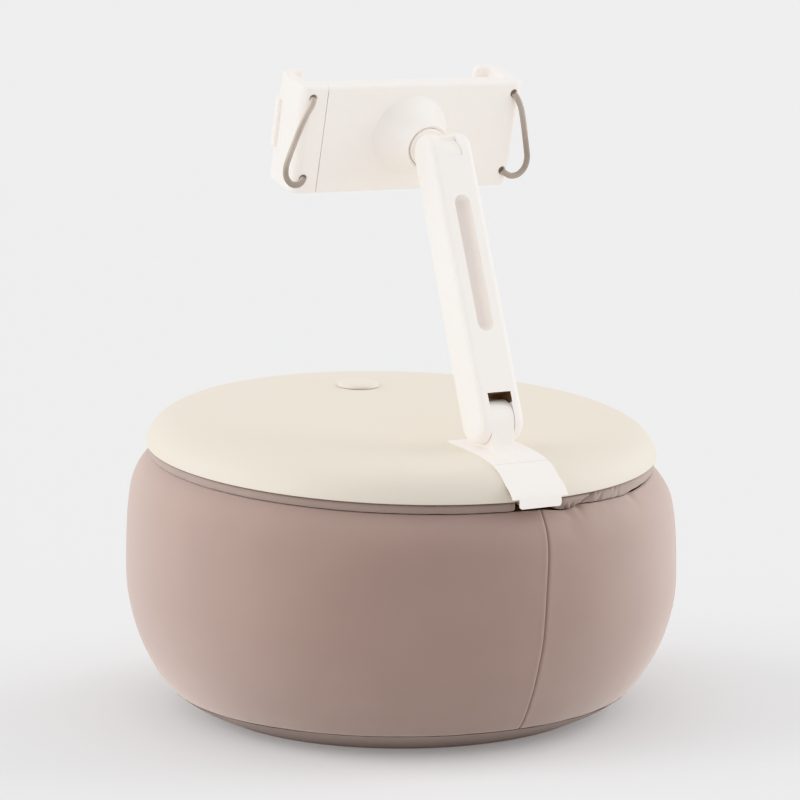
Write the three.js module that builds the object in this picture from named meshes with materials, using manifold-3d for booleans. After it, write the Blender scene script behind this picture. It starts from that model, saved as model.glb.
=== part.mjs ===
// Tablet cushion stand: a round bead cushion with a tray top, and a hinged arm that carries a tablet holder.
// Millimetres, +Z up. The origin is the middle of the cushion's underside.
// The reader sits at -Y, the arm is at +Y.

import * as THREE from 'three';
import { mergeVertices } from 'three/addons/utils/BufferGeometryUtils.js';
import Module from 'manifold-3d';

const wasm = await Module();
wasm.setup();

// Cushion cover
const CUSHION_RADIUS = 150;
const BELLY_HEIGHT = 79;
const FLOOR_DRAW_IN = 46.5;
const BOTTOM_SEAM_DRAW_IN = 24.3;
const BOTTOM_SEAM_HEIGHT = 12.2;
const FOOT_DRAW_IN = 9.8;
const FOOT_DROP = 46;
const LOWER_FLANK_DRAW_IN = 2;
const LOWER_FLANK_DROP = 23;
const UPPER_FLANK_DRAW_IN = 3;
const UPPER_FLANK_DROP = 16;
const COVER_THICKNESS = 2;
const SEAM_ALLOWANCE = 3;
const BAND_HEIGHT = 8;
const BAND_WIDTH = 5.6;
const BAND_BULGE = 1.2;
const BAND_INSET = 2.2;
const BAND_OPENING_MARGIN = 2.2;

// Tray
const TRAY_RADIUS = 138;
const TRAY_RIM_HEIGHT = 141.9;
const TRAY_CROWN = 18.6;
const TRAY_FLAT_RADIUS = 92;
const TRAY_WALL = 6;
const TRAY_EDGE_POWER = 11.4;
const TRAY_EDGE_ROUNDING = 0.625;
const TRAY_LEAN = 3.77;
const UNDER_PLATE_THICKNESS = 4;
const UNDER_PLATE_SINK = 3;
const TRAY_SCREW_CIRCLE = 95;
const TRAY_BOSS_RADIUS = 4;
const TRAY_SCREW_TIP = 11;
const BUTTON_RADIUS = 12;
const BUTTON_RISE = 2;
const BUTTON_X = -9;
const BUTTON_Y = -66.5;
const BUTTON_STEM_RADIUS = 4;
const BUTTON_STEM_LENGTH = 4;

// Bracket on the tray's rim
const STRAP_WIDTH = 32;
const STRAP_THICKNESS = 4;
const STRAP_PROUD = 0.5;
const STRAP_INNER_INSET = 62;
const GROOVE_INSET = 16.3;
const GROOVE_WIDTH = 0.5;
const HOOK_REACH = 4.5;
const HOOK_TAB_WIDTH = 23;
const HOOK_TAB_DROP = 2.6;
const HOOK_SHOULDER_HEIGHT = 2.4;
const HOOK_KNEE_INSET = 0.2;
const HOOK_KNEE_RISE = 4.8;
const HOOK_TOE_INSET = 1.2;
const HOOK_TOE_RISE = 1.4;
const HOOK_LIP_LENGTH = 11.3;
const HOOK_SCREW_INSET = 12;
const PIVOT_INSET = 44.9;
const PIVOT_RISE = 12.9;
const BRACKET_SCREW_SPACING = 10;

// Arm
const ARM_LENGTH = 140.4;
const ARM_WIDTH = 26;
const ARM_LOWER_RADIUS = 11.3;
const ARM_UPPER_RADIUS = 10;
const ARM_TIP_LIFT = 3;
const ARM_EDGE_ROUNDING = 4;
const ARM_LEAN = 24.6;
const KNUCKLE_WIDTH = 11.8;
const KNUCKLE_RADIUS = 10.8;
const KNUCKLE_FILLET = 5;
const KNUCKLE_SLOT_ROOM = 1.8;
const LUG_WIDTH = 9;
const LUG_RADIUS = 9;
const LUG_SLOT_ROOM = 0.8;
const LUG_SLOT_REAR_SILL = 1.2;
const LUG_SLOT_FRONT_SILL = 7;
const RECESS_START = 45;
const RECESS_END = 118;
const RECESS_RADIUS = 4.8;
const RECESS_LIFT = 0.6;

// Hinge hardware
const BOLT_RADIUS = 2.5;
const BOLT_HEAD_RADIUS = 4.5;
const BOLT_HEAD_HEIGHT = 2.4;
const NUT_RADIUS = 4.6;
const NUT_THICKNESS = 3.7;
const WASHER_RADIUS = 7;
const WASHER_THICKNESS = 0.6;
const CAP_THICKNESS = 1.1;

// Tilt head and swivel
const HEAD_TURN = 36.9;
const HOLDER_REACH = 37;
const NECK_HALF_HEIGHT = 6;
const NECK_FLARE = 1;
const DISC_RADIUS = 10.3;
const DISC_THICKNESS = 4.9;
const DISC_PROUD = 0.7;
const SPIGOT_RADIUS = 6;
const SWIVEL_WASHER_RADIUS = 9;
const SWIVEL_WASHER_THICKNESS = 1.5;

// Holder
const HOLDER_HALF_WIDTH = 67;
const HOLDER_HALF_HEIGHT = 29.35;
const HOLDER_DROP = 1.35;
const PLATE_THICKNESS = 11;
const HOLDER_DEPTH = 32.5;
const PARTING_PLACE = 52.5;
const PARTING_GAP = 0.5;
const JAW_WALL = 6.5;
const LIP_LENGTH = 8;
const LIP_THICKNESS = 4.5;
const BACK_CORNER_RADIUS = 6;
const FRONT_CORNER_RADIUS = 10;
const INNER_CORNER_RADIUS = 3;
const HOLDER_EDGE_ROUNDING = 1.8;
const GRIP_RAISE = 0.9;
const GRIP_HALF_HEIGHT = 13;
const GRIP_SWEEP = 65;
const SHELL_WALL = 2.4;
const SHELL_END_WALL = 3.5;
const FRONT_PLATE_THICKNESS = 2.2;
const BOSS_BASE_RADIUS = 22;
const BOSS_TOP_RADIUS = 12.6;
const BOSS_HEIGHT = 20;
const TONGUE_LENGTH = 95;
const TONGUE_HALF_HEIGHT = 16;
const TONGUE_THICKNESS = 3.5;
const TONGUE_BACK_ROOM = 2.1;
const PLATE_BOSS_RADIUS = 3.3;
const PLATE_BOSS_INSET = 3.9;
const PLATE_SCREW_RADIUS = 1.2;
const PLATE_SCREW_HEAD_RADIUS = 2.3;
const PLATE_SCREW_HEAD_HEIGHT = 1.3;
const PLATE_SCREW_LENGTH = 5.5;
const PAD_THICKNESS = 1.5;
const FRONT_PAD_HALF_WIDTH = 38;
const FRONT_PAD_HALF_HEIGHT = 15;
const FRONT_PAD_CORNER = 5;
const JAW_PAD_HALF_HEIGHT = 22;
const SPRING_ROLL_RADIUS = 5.6;
const SPRING_POST_RADIUS = 2;

// Elastic loops
const CORD_RADIUS = 1.7;
const CORD_HOLE_RADIUS = 2.2;
const CORD_HOLE_RIM = 1;
const CORD_HOLE_DEPTH = 8;
const CORD_END_LENGTH = 5;
const CORD_HOLE_PLACE = 61;
const CORD_HOLE_HALF_SPAN = 21.9;
const CORD_SIDES = 8;
const CORD_STEPS = 24;

// Screws into the tray
const SCREW_RADIUS = 1.6;
const SCREW_HEAD_RADIUS = 3;
const SCREW_HEAD_HEIGHT = 2.2;

// Clearances
const SEAT_GAP = 0.3;
const RUN_GAP = 0.3;
const SOFT_GAP = 0.9;
const WASHER_GAP = 0.2;
const CUT_OVERRUN = 5;

// Facets
const LARGE_SIDES = 48;
const MEDIUM_SIDES = 32;
const SMALL_SIDES = 20;
const HEAD_SIDES = 16;
const SHANK_SIDES = 12;
const HALF_TURN_STEPS = 12;
const COVER_STEPS = 3;
const INNER_COVER_STEPS = 1;

const FABRIC = { color: 0xb9a39a, roughness: 0.95, metalness: 0 };
const LINING = { color: 0xcabfb8, roughness: 0.95, metalness: 0 };
const CREAM = { color: 0xe3dac9, roughness: 0.7, metalness: 0 };
const BOARD = { color: 0xd8c9a8, roughness: 0.9, metalness: 0 };
const WHITE = { color: 0xf5f0ea, roughness: 0.45, metalness: 0 };
const RUBBER = { color: 0xd9d5d0, roughness: 0.9, metalness: 0 };
const STEEL = { color: 0xb8bbc0, roughness: 0.35, metalness: 1 };
const CORD = { color: 0x8f857b, roughness: 0.95, metalness: 0 };

const radians = THREE.MathUtils.degToRad;

// Geometry helpers

function weld(geometry) {
  const bare = geometry.clone();
  bare.deleteAttribute('normal');
  bare.deleteAttribute('uv');
  const merged = mergeVertices(bare, 1e-3);
  const place = merged.attributes.position;
  const corners = [0, 1, 2].map(() => new THREE.Vector3());
  const faces = [];
  let volume = 0;
  for (let i = 0; i < merged.index.count; i += 3) {
    const face = [0, 1, 2].map((k) => merged.index.getX(i + k));
    if (new Set(face).size === 3) {
      face.forEach((vertex, k) => corners[k].fromBufferAttribute(place, vertex));
      volume += corners[0].dot(corners[1].clone().cross(corners[2]));
      faces.push(face);
    }
  }
  merged.setIndex(faces.flatMap((face) => (volume < 0 ? face.reverse() : face)));
  return merged;
}

function solid(geometry) {
  const mesh = weld(geometry);
  return new wasm.Manifold(new wasm.Mesh({
    numProp: 3,
    vertProperties: Float32Array.from(mesh.attributes.position.array),
    triVerts: Uint32Array.from(mesh.index.array),
  }));
}

function surface(body) {
  const mesh = body.getMesh();
  const geometry = new THREE.BufferGeometry();
  geometry.setAttribute('position', new THREE.BufferAttribute(mesh.vertProperties, 3));
  geometry.setIndex(new THREE.BufferAttribute(mesh.triVerts, 1));
  return geometry;
}

function join(first, ...others) {
  return surface(others.reduce((body, other) => body.add(solid(other)), solid(first)));
}

function cut(first, ...others) {
  return surface(others.reduce((body, other) => body.subtract(solid(other)), solid(first)));
}

function lathe(profile, sides) {
  const points = profile.map(([radius, height]) => new THREE.Vector2(radius, height));
  return new THREE.LatheGeometry(points, sides).rotateX(Math.PI / 2);
}

function ring(profile, sides) {
  return lathe([...profile, profile[0]], sides);
}

function block([x0, x1], [y0, y1], [z0, z1]) {
  const box = new THREE.BoxGeometry(x1 - x0, y1 - y0, z1 - z0);
  return box.translate((x0 + x1) / 2, (y0 + y1) / 2, (z0 + z1) / 2);
}

function rod(radius, from, to, sides = SMALL_SIDES) {
  return new THREE.CylinderGeometry(radius, radius, to - from, sides).translate(0, (from + to) / 2, 0);
}

function rodX(radius, from, to, sides = SMALL_SIDES) {
  return rod(radius, from, to, sides).rotateZ(-Math.PI / 2);
}

function rodY(radius, from, to, sides = SMALL_SIDES) {
  return rod(radius, from, to, sides);
}

function rodZ(radius, from, to, sides = SMALL_SIDES) {
  return rod(radius, from, to, sides).rotateX(Math.PI / 2);
}

function extrude(outline, length, rounding) {
  const shape = new THREE.Shape(outline.map(([a, b]) => new THREE.Vector2(a, b)));
  const geometry = new THREE.ExtrudeGeometry(shape, {
    depth: length - 2 * rounding,
    bevelEnabled: rounding > 0,
    bevelThickness: rounding,
    bevelSize: rounding,
    bevelOffset: -rounding,
    bevelSegments: 3,
  });
  return geometry.translate(0, 0, rounding);
}

// An outline in Y and Z, drawn out along X.
function prismX(outline, halfWidth, rounding = 0) {
  const geometry = extrude(outline, 2 * halfWidth, rounding).translate(0, 0, -halfWidth);
  const turn = new THREE.Matrix4().makeBasis(
    new THREE.Vector3(0, 1, 0), new THREE.Vector3(0, 0, 1), new THREE.Vector3(1, 0, 0));
  return geometry.applyMatrix4(turn);
}

// An outline in X and Y, drawn out along Z.
function prismZ(outline, halfHeight, rounding = 0) {
  return extrude(outline, 2 * halfHeight, rounding).translate(0, 0, -halfHeight);
}

// A rectangle in X and Z with round corners, between two places along Y.
function padY(halfWidth, halfHeight, corner, from, to) {
  const outline = [
    ...arc(halfWidth - corner, halfHeight - corner, corner, 0, 90, 5),
    ...arc(corner - halfWidth, halfHeight - corner, corner, 90, 180, 5),
    ...arc(corner - halfWidth, corner - halfHeight, corner, 180, 270, 5),
    ...arc(halfWidth - corner, corner - halfHeight, corner, 270, 360, 5),
  ];
  return extrude(outline, to - from, 0).rotateX(Math.PI / 2).translate(0, to, 0);
}

function arc(a, b, radius, from, to, steps) {
  return Array.from({ length: steps + 1 }, (_, i) => {
    const angle = radians(from + ((to - from) * i) / steps);
    return [a + radius * Math.cos(angle), b + radius * Math.sin(angle)];
  });
}

// Moves each point of an open profile to its left by a distance.
function offset(profile, distance) {
  return profile.map(([a, b], i) => {
    const [a0, b0] = profile[Math.max(i - 1, 0)];
    const [a1, b1] = profile[Math.min(i + 1, profile.length - 1)];
    const length = Math.hypot(a1 - a0, b1 - b0);
    return [a - (distance * (b1 - b0)) / length, b + (distance * (a1 - a0)) / length];
  });
}

function add(group, name, geometry, finish) {
  const mesh = new THREE.Mesh(weld(geometry), new THREE.MeshStandardMaterial(finish));
  mesh.name = name;
  group.add(mesh);
  return mesh;
}

// Frames: the tray leans on the soft cushion, the arm turns on the tray, the head on the arm,
// and the holder on the head, a little below the middle of its swivel.

const stand = new THREE.Group();
const tray = new THREE.Group();
tray.position.z = TRAY_RIM_HEIGHT;
tray.rotation.x = -radians(TRAY_LEAN);
stand.add(tray);

const pivotY = TRAY_RADIUS - PIVOT_INSET;
const pivotZ = strapTop(pivotY) + PIVOT_RISE;
const arm = new THREE.Group();
arm.position.set(0, pivotY, pivotZ);
arm.rotation.x = radians(ARM_LEAN);
tray.add(arm);

const head = new THREE.Group();
head.position.z = ARM_LENGTH;
head.rotation.x = -radians(HEAD_TURN);
arm.add(head);

const swivel = new THREE.Group();
swivel.position.y = -HOLDER_REACH;
head.add(swivel);

const holder = new THREE.Group();
holder.position.z = -HOLDER_DROP;
swivel.add(holder);

// Cushion

const topSeamHeight = TRAY_RIM_HEIGHT - BAND_HEIGHT - SEAT_GAP;
const topSeamRadius = TRAY_RADIUS - BAND_INSET;
const bandInnerRadius = topSeamRadius + BAND_BULGE - BAND_WIDTH;

const coverKnots = [
  [CUSHION_RADIUS - FLOOR_DRAW_IN, 0],
  [CUSHION_RADIUS - BOTTOM_SEAM_DRAW_IN, BOTTOM_SEAM_HEIGHT],
  [CUSHION_RADIUS - FOOT_DRAW_IN, BELLY_HEIGHT - FOOT_DROP],
  [CUSHION_RADIUS - LOWER_FLANK_DRAW_IN, BELLY_HEIGHT - LOWER_FLANK_DROP],
  [CUSHION_RADIUS, BELLY_HEIGHT],
  [CUSHION_RADIUS - UPPER_FLANK_DRAW_IN, topSeamHeight - UPPER_FLANK_DROP],
  [topSeamRadius, topSeamHeight],
];
const coverSpans = coverKnots.length - 1;

// Points of the cover's curve from one knot to another, with a number of steps between neighbouring knots.
function coverProfile(from, to, steps) {
  const curve = new THREE.SplineCurve(coverKnots.map(([radius, height]) => new THREE.Vector2(radius, height)));
  return Array.from({ length: (to - from) * steps + 1 }, (_, i) => {
    const point = curve.getPoint((from + i / steps) / coverSpans);
    return [point.x, point.y];
  });
}

// The filling gives way under the arm, so the cover follows the tray's lean, fading to none at the floor.
function settle(geometry) {
  const place = geometry.attributes.position;
  for (let i = 0; i < place.count; i += 1) {
    const share = THREE.MathUtils.smoothstep(place.getZ(i), 0, topSeamHeight);
    place.setZ(i, place.getZ(i) - place.getY(i) * Math.tan(radians(TRAY_LEAN)) * share);
  }
  return geometry;
}

function sidePanel() {
  const outer = coverProfile(1, coverSpans, COVER_STEPS);
  outer[0][1] += SEAT_GAP;
  const inner = offset(coverProfile(1, coverSpans, INNER_COVER_STEPS), COVER_THICKNESS).reverse();
  inner[inner.length - 1] = [outer[0][0] - SEAM_ALLOWANCE, outer[0][1]];
  return settle(weld(ring([...outer, ...inner], LARGE_SIDES)));
}

function bottomPanel() {
  const outer = coverProfile(0, 1, COVER_STEPS);
  const seam = outer[outer.length - 1];
  const inner = offset(outer, COVER_THICKNESS).reverse();
  inner[0] = [seam[0] - SEAM_ALLOWANCE, seam[1]];
  inner[inner.length - 1] = [outer[0][0], COVER_THICKNESS];
  return settle(weld(lathe([[0, 0], ...outer, ...inner, [0, COVER_THICKNESS]], LARGE_SIDES)));
}

function beadBag() {
  const room = COVER_THICKNESS + SEAT_GAP;
  const flank = offset(coverProfile(1, coverSpans, INNER_COVER_STEPS), COVER_THICKNESS + SOFT_GAP).slice(0, -1);
  const top = TRAY_RIM_HEIGHT - UNDER_PLATE_THICKNESS + UNDER_PLATE_SINK - SEAT_GAP;
  const neck = bandInnerRadius - SOFT_GAP;
  const shoulder = neck - COVER_THICKNESS;
  return settle(weld(lathe([
    [0, room], [CUSHION_RADIUS - FLOOR_DRAW_IN, room], ...flank,
    [neck, topSeamHeight], [neck, top - COVER_THICKNESS], [shoulder, top], [0, top],
  ], LARGE_SIDES)));
}

function topBand() {
  const inner = bandInnerRadius;
  const low = -BAND_HEIGHT;
  const high = -SEAT_GAP;
  const body = ring([
    [inner, low],
    [topSeamRadius, low],
    [topSeamRadius + BAND_BULGE, low * 0.7],
    [topSeamRadius + BAND_BULGE, low * 0.4],
    [topSeamRadius + BAND_BULGE / 2, high],
    [inner, high],
  ], LARGE_SIDES);
  const halfOpening = HOOK_TAB_WIDTH / 2 + BAND_OPENING_MARGIN;
  const opening = block([-halfOpening, halfOpening],
    [inner - CUT_OVERRUN, TRAY_RADIUS + CUT_OVERRUN], [low - CUT_OVERRUN, CUT_OVERRUN]);
  return cut(body, opening);
}

add(stand, 'cover_side_panel', sidePanel(), FABRIC);
add(stand, 'cover_bottom_panel', bottomPanel(), FABRIC);
add(stand, 'bead_bag', beadBag(), LINING);
add(tray, 'cover_top_band', topBand(), FABRIC);

// Tray

function crownHeight(distance, radius, crown) {
  const share = Math.min(Math.abs(distance) / radius, 1);
  return crown * (1 - share ** TRAY_EDGE_POWER) ** TRAY_EDGE_ROUNDING;
}

function trayTopHeight(distance) {
  return crownHeight(distance, TRAY_RADIUS, TRAY_CROWN);
}

function crownProfile(radius, crown, shares) {
  return shares.map((share) => [share * radius, crownHeight(share * radius, radius, crown)]);
}

function strapTop(y) {
  return trayTopHeight(y) + STRAP_PROUD;
}

const underPlateTop = UNDER_PLATE_SINK;
const underPlateBottom = UNDER_PLATE_SINK - UNDER_PLATE_THICKNESS;
const coreCrown = TRAY_CROWN - TRAY_WALL - SEAT_GAP;
const coreRadius = TRAY_RADIUS - TRAY_WALL - SEAT_GAP;
const coreBottom = underPlateTop + SEAT_GAP;
const trayScrews = [45, 135, 225, 315].map((angle) => [
  TRAY_SCREW_CIRCLE * Math.cos(radians(angle)), TRAY_SCREW_CIRCLE * Math.sin(radians(angle)), TRAY_SCREW_TIP,
]);
const bracketScrews = [-0.5, 0.5].map((side) => [
  0, pivotY + side * BRACKET_SCREW_SPACING, pivotZ - BOLT_RADIUS - STRAP_THICKNESS,
]);
const hookScrewY = TRAY_RADIUS - HOOK_SCREW_INSET;
const hookScrew = [0, hookScrewY, strapTop(hookScrewY) - STRAP_THICKNESS / 2];

function screwHole([x, y, tip], from = underPlateBottom - CUT_OVERRUN) {
  return rodZ(SCREW_RADIUS + RUN_GAP, from, tip + SEAT_GAP, SHANK_SIDES).translate(x, y, 0);
}

function screwBody([x, y, tip]) {
  const headTop = underPlateBottom + SCREW_HEAD_HEIGHT;
  const headUnderside = underPlateBottom + SEAT_GAP;
  const shank = rodZ(SCREW_RADIUS, headTop - SEAT_GAP, tip, SHANK_SIDES);
  return join(rodZ(SCREW_HEAD_RADIUS, headUnderside, headTop, HEAD_SIDES), shank).translate(x, y, 0);
}

// The room that the strap and the hook take in the tray, open upwards.
function strapChannel() {
  const floor = [...strapUnderside(), ...hookUnderside()].map(([y, z]) => [y, z - SEAT_GAP]);
  const inner = floor[0][0] - SEAT_GAP;
  const outer = floor[floor.length - 1][0];
  const ceiling = TRAY_CROWN + CUT_OVERRUN;
  const outline = [[inner, floor[0][1]], ...floor, [outer, -CUT_OVERRUN], [outer + CUT_OVERRUN, -CUT_OVERRUN]];
  return prismX([...outline, [outer + CUT_OVERRUN, ceiling], [inner, ceiling]], STRAP_WIDTH / 2 + SEAT_GAP);
}

function trayTop() {
  const shares = [1, 0.993, 0.98, 0.96, 0.935, 0.9, 0.86, 0.8];
  const flat = [[TRAY_FLAT_RADIUS, TRAY_CROWN], [0, TRAY_CROWN]];
  const outer = [...crownProfile(TRAY_RADIUS, TRAY_CROWN, shares), ...flat];
  const innerShares = [0, 0.8, 0.9, 0.96, 1];
  const inner = crownProfile(TRAY_RADIUS - TRAY_WALL, TRAY_CROWN - TRAY_WALL, innerShares);
  const shell = lathe([...inner, ...outer], LARGE_SIDES);
  const bosses = trayScrews.map(([x, y]) =>
    rodZ(TRAY_BOSS_RADIUS, coreBottom, TRAY_CROWN - TRAY_WALL / 2, HEAD_SIDES).translate(x, y, 0));
  const buttonHole = rodZ(BUTTON_STEM_RADIUS + SEAT_GAP, TRAY_CROWN - BUTTON_STEM_LENGTH - SEAT_GAP,
    TRAY_CROWN + CUT_OVERRUN, HEAD_SIDES).translate(BUTTON_X, BUTTON_Y, 0);
  const holes = [...trayScrews, ...bracketScrews, hookScrew].map((place) => screwHole(place));
  return cut(join(shell, ...bosses), strapChannel(), buttonHole, ...holes);
}

function trayCore() {
  const profile = crownProfile(coreRadius, coreCrown, [0.96, 0.9, 0.8]);
  const edge = profile[0][0];
  const body = lathe([[0, coreBottom], [edge, coreBottom], ...profile, [0, coreCrown]], LARGE_SIDES);
  const bossHoles = trayScrews.map(([x, y]) =>
    rodZ(TRAY_BOSS_RADIUS + SEAT_GAP, 0, TRAY_CROWN, HEAD_SIDES).translate(x, y, 0));
  return cut(body, ...bossHoles, ...[...bracketScrews, hookScrew].map((place) => screwHole(place)));
}

function underPlate() {
  const edge = coreRadius - UNDER_PLATE_SINK - SEAT_GAP;
  const body = rodZ(edge, underPlateBottom, underPlateTop, LARGE_SIDES);
  const screws = [...trayScrews, ...bracketScrews, hookScrew];
  const headTop = underPlateBottom + SCREW_HEAD_HEIGHT + SEAT_GAP;
  const seats = screws.map(([x, y]) =>
    rodZ(SCREW_HEAD_RADIUS + RUN_GAP, underPlateBottom - CUT_OVERRUN, headTop, HEAD_SIDES).translate(x, y, 0));
  return cut(body, ...seats, ...screws.map((place) => screwHole(place)));
}

function button() {
  const low = TRAY_CROWN + SEAT_GAP;
  const cap = lathe([
    [0, low], [BUTTON_RADIUS, low], [BUTTON_RADIUS, low + BUTTON_RISE / 2],
    [BUTTON_RADIUS - BUTTON_RISE / 2, low + BUTTON_RISE * 0.9], [0, low + BUTTON_RISE],
  ], SMALL_SIDES);
  const stem = rodZ(BUTTON_STEM_RADIUS, TRAY_CROWN - BUTTON_STEM_LENGTH, low + BUTTON_RISE / 2, HEAD_SIDES);
  return join(cap, stem).translate(BUTTON_X, BUTTON_Y, 0);
}

// Bracket

const grooveY = TRAY_RADIUS - GROOVE_INSET;
const strapInnerY = TRAY_RADIUS - STRAP_INNER_INSET;
const hookOuterY = TRAY_RADIUS + HOOK_REACH;
const hookInnerY = hookOuterY - STRAP_THICKNESS;

function strapStations() {
  const end = grooveY - GROOVE_WIDTH / 2;
  return Array.from({ length: 9 }, (_, i) => strapInnerY + ((end - strapInnerY) * i) / 8);
}

function strapUnderside() {
  return strapStations().map((y) => [y, strapTop(y) - STRAP_THICKNESS]);
}

function hookTopside() {
  const start = grooveY + GROOVE_WIDTH / 2;
  const slope = [0, 0.35, 0.7].map((share) => start + share * (TRAY_RADIUS - start));
  return [
    ...slope.map((y) => [y, strapTop(y)]),
    [TRAY_RADIUS - HOOK_KNEE_INSET, HOOK_SHOULDER_HEIGHT + HOOK_KNEE_RISE],
    [hookOuterY - HOOK_TOE_INSET, HOOK_SHOULDER_HEIGHT + HOOK_TOE_RISE],
    [hookOuterY, 0],
  ];
}

function hookUnderside() {
  const curve = offset(hookTopside(), -STRAP_THICKNESS).slice(0, -1);
  const inside = curve.map(([y, z]) => [THREE.MathUtils.clamp(y, grooveY + GROOVE_WIDTH / 2, hookInnerY), z]);
  return [...inside, [hookInnerY, -SEAT_GAP]];
}

function hingeBlock() {
  const top = strapStations().map((y) => [y, strapTop(y)]);
  const plate = prismX([...strapUnderside(), ...top.reverse()], STRAP_WIDTH / 2);
  const base = strapTop(pivotY);
  const foot = KNUCKLE_RADIUS + KNUCKLE_FILLET;
  const knuckle = prismX([
    [pivotY - foot, base - STRAP_THICKNESS / 2],
    [pivotY + foot, base - STRAP_THICKNESS / 2],
    ...arc(pivotY + foot, base + KNUCKLE_FILLET, KNUCKLE_FILLET, 270, 180, 4),
    ...arc(pivotY, pivotZ, KNUCKLE_RADIUS, 0, 180, HALF_TURN_STEPS),
    ...arc(pivotY - foot, base + KNUCKLE_FILLET, KNUCKLE_FILLET, 0, -90, 4),
  ], KNUCKLE_WIDTH / 2);
  const bore = rodX(BOLT_RADIUS + RUN_GAP, -KNUCKLE_WIDTH, KNUCKLE_WIDTH).translate(0, pivotY, pivotZ);
  return cut(join(plate, knuckle), bore, ...bracketScrews.map((place) => screwHole(place)));
}

function rimHook() {
  const lipInner = hookOuterY - HOOK_LIP_LENGTH;
  const outline = [
    ...hookUnderside(),
    [lipInner, -SEAT_GAP],
    [lipInner, -HOOK_TAB_DROP],
    [hookOuterY, -HOOK_TAB_DROP],
    ...hookTopside().reverse(),
  ];
  const shoulder = (side) => block(
    [side * HOOK_TAB_WIDTH / 2, side * STRAP_WIDTH].sort((a, b) => a - b),
    [lipInner - CUT_OVERRUN, hookOuterY + CUT_OVERRUN],
    [-CUT_OVERRUN, HOOK_SHOULDER_HEIGHT]);
  return cut(prismX(outline, STRAP_WIDTH / 2), shoulder(-1), shoulder(1), screwHole(hookScrew));
}

add(tray, 'tray_top', trayTop(), CREAM);
add(tray, 'tray_core', trayCore(), BOARD);
add(tray, 'tray_under_plate', underPlate(), BOARD);
add(tray, 'tray_button', button(), CREAM);
trayScrews.forEach((place, i) => add(tray, `tray_screw_${i + 1}`, screwBody(place), STEEL));
add(tray, 'hinge_block', hingeBlock(), WHITE);
add(tray, 'rim_hook', rimHook(), WHITE);
bracketScrews.forEach((place, i) => add(tray, `bracket_screw_${i + 1}`, screwBody(place), STEEL));
add(tray, 'hook_screw', screwBody(hookScrew), STEEL);

// Arm

const washerRoom = 2 * (WASHER_THICKNESS + 2 * WASHER_GAP);
const lowerSlotHalf = (KNUCKLE_WIDTH + washerRoom) / 2;
const upperSlotHalf = (LUG_WIDTH + washerRoom) / 2;
const headSeat = -(ARM_WIDTH / 2 - CAP_THICKNESS - BOLT_HEAD_HEIGHT - 3 * SEAT_GAP);

function armOutline() {
  const run = ARM_LENGTH + ARM_TIP_LIFT;
  const flare = THREE.MathUtils.radToDeg(Math.asin((ARM_LOWER_RADIUS - ARM_UPPER_RADIUS) / run));
  return [
    ...arc(0, run, ARM_UPPER_RADIUS, flare, 180 - flare, HALF_TURN_STEPS),
    ...arc(0, 0, ARM_LOWER_RADIUS, 180 - flare, 360 + flare, HALF_TURN_STEPS),
  ];
}

// The bolt's bore, the sunk head and the nut's pocket, for a hinge with a slot of a given half width.
function boltCuts(slotHalf, z) {
  const half = ARM_WIDTH / 2;
  const nutEnd = slotHalf + NUT_THICKNESS + 2 * SEAT_GAP;
  return [
    rodX(BOLT_RADIUS + RUN_GAP, -half - CUT_OVERRUN, nutEnd - SEAT_GAP),
    rodX(BOLT_HEAD_RADIUS + RUN_GAP, -half - CUT_OVERRUN, headSeat),
    rodX(NUT_RADIUS + RUN_GAP, 0, nutEnd, 6),
  ].map((geometry) => geometry.translate(0, 0, z));
}

function armBody() {
  const body = prismX(armOutline(), ARM_WIDTH / 2, ARM_EDGE_ROUNDING);
  const reach = ARM_LOWER_RADIUS + CUT_OVERRUN;
  const slotRadius = LUG_RADIUS + LUG_SLOT_ROOM;
  const upperSlot = [
    rodX(slotRadius, -upperSlotHalf, upperSlotHalf, SMALL_SIDES),
    block([-upperSlotHalf, upperSlotHalf], [-reach, 0], [-LUG_SLOT_FRONT_SILL, reach]),
    block([-upperSlotHalf, upperSlotHalf], [-reach, reach], [-LUG_SLOT_REAR_SILL, reach]),
  ].map((geometry) => geometry.translate(0, 0, ARM_LENGTH));
  const lowerSlot = block(
    [-lowerSlotHalf, lowerSlotHalf], [-reach, reach], [-reach, KNUCKLE_RADIUS + KNUCKLE_SLOT_ROOM]);
  const recessRun = RECESS_END - RECESS_START - 2 * RECESS_RADIUS;
  const recess = new THREE.CapsuleGeometry(RECESS_RADIUS, recessRun, 4, HEAD_SIDES)
    .rotateX(Math.PI / 2)
    .rotateX(Math.atan2(ARM_LOWER_RADIUS - ARM_UPPER_RADIUS, ARM_LENGTH))
    .translate(0, (ARM_LOWER_RADIUS + ARM_UPPER_RADIUS) / 2 + RECESS_LIFT, (RECESS_START + RECESS_END) / 2);
  return cut(body, lowerSlot, ...upperSlot, recess,
    ...boltCuts(lowerSlotHalf, 0), ...boltCuts(upperSlotHalf, ARM_LENGTH));
}

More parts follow.
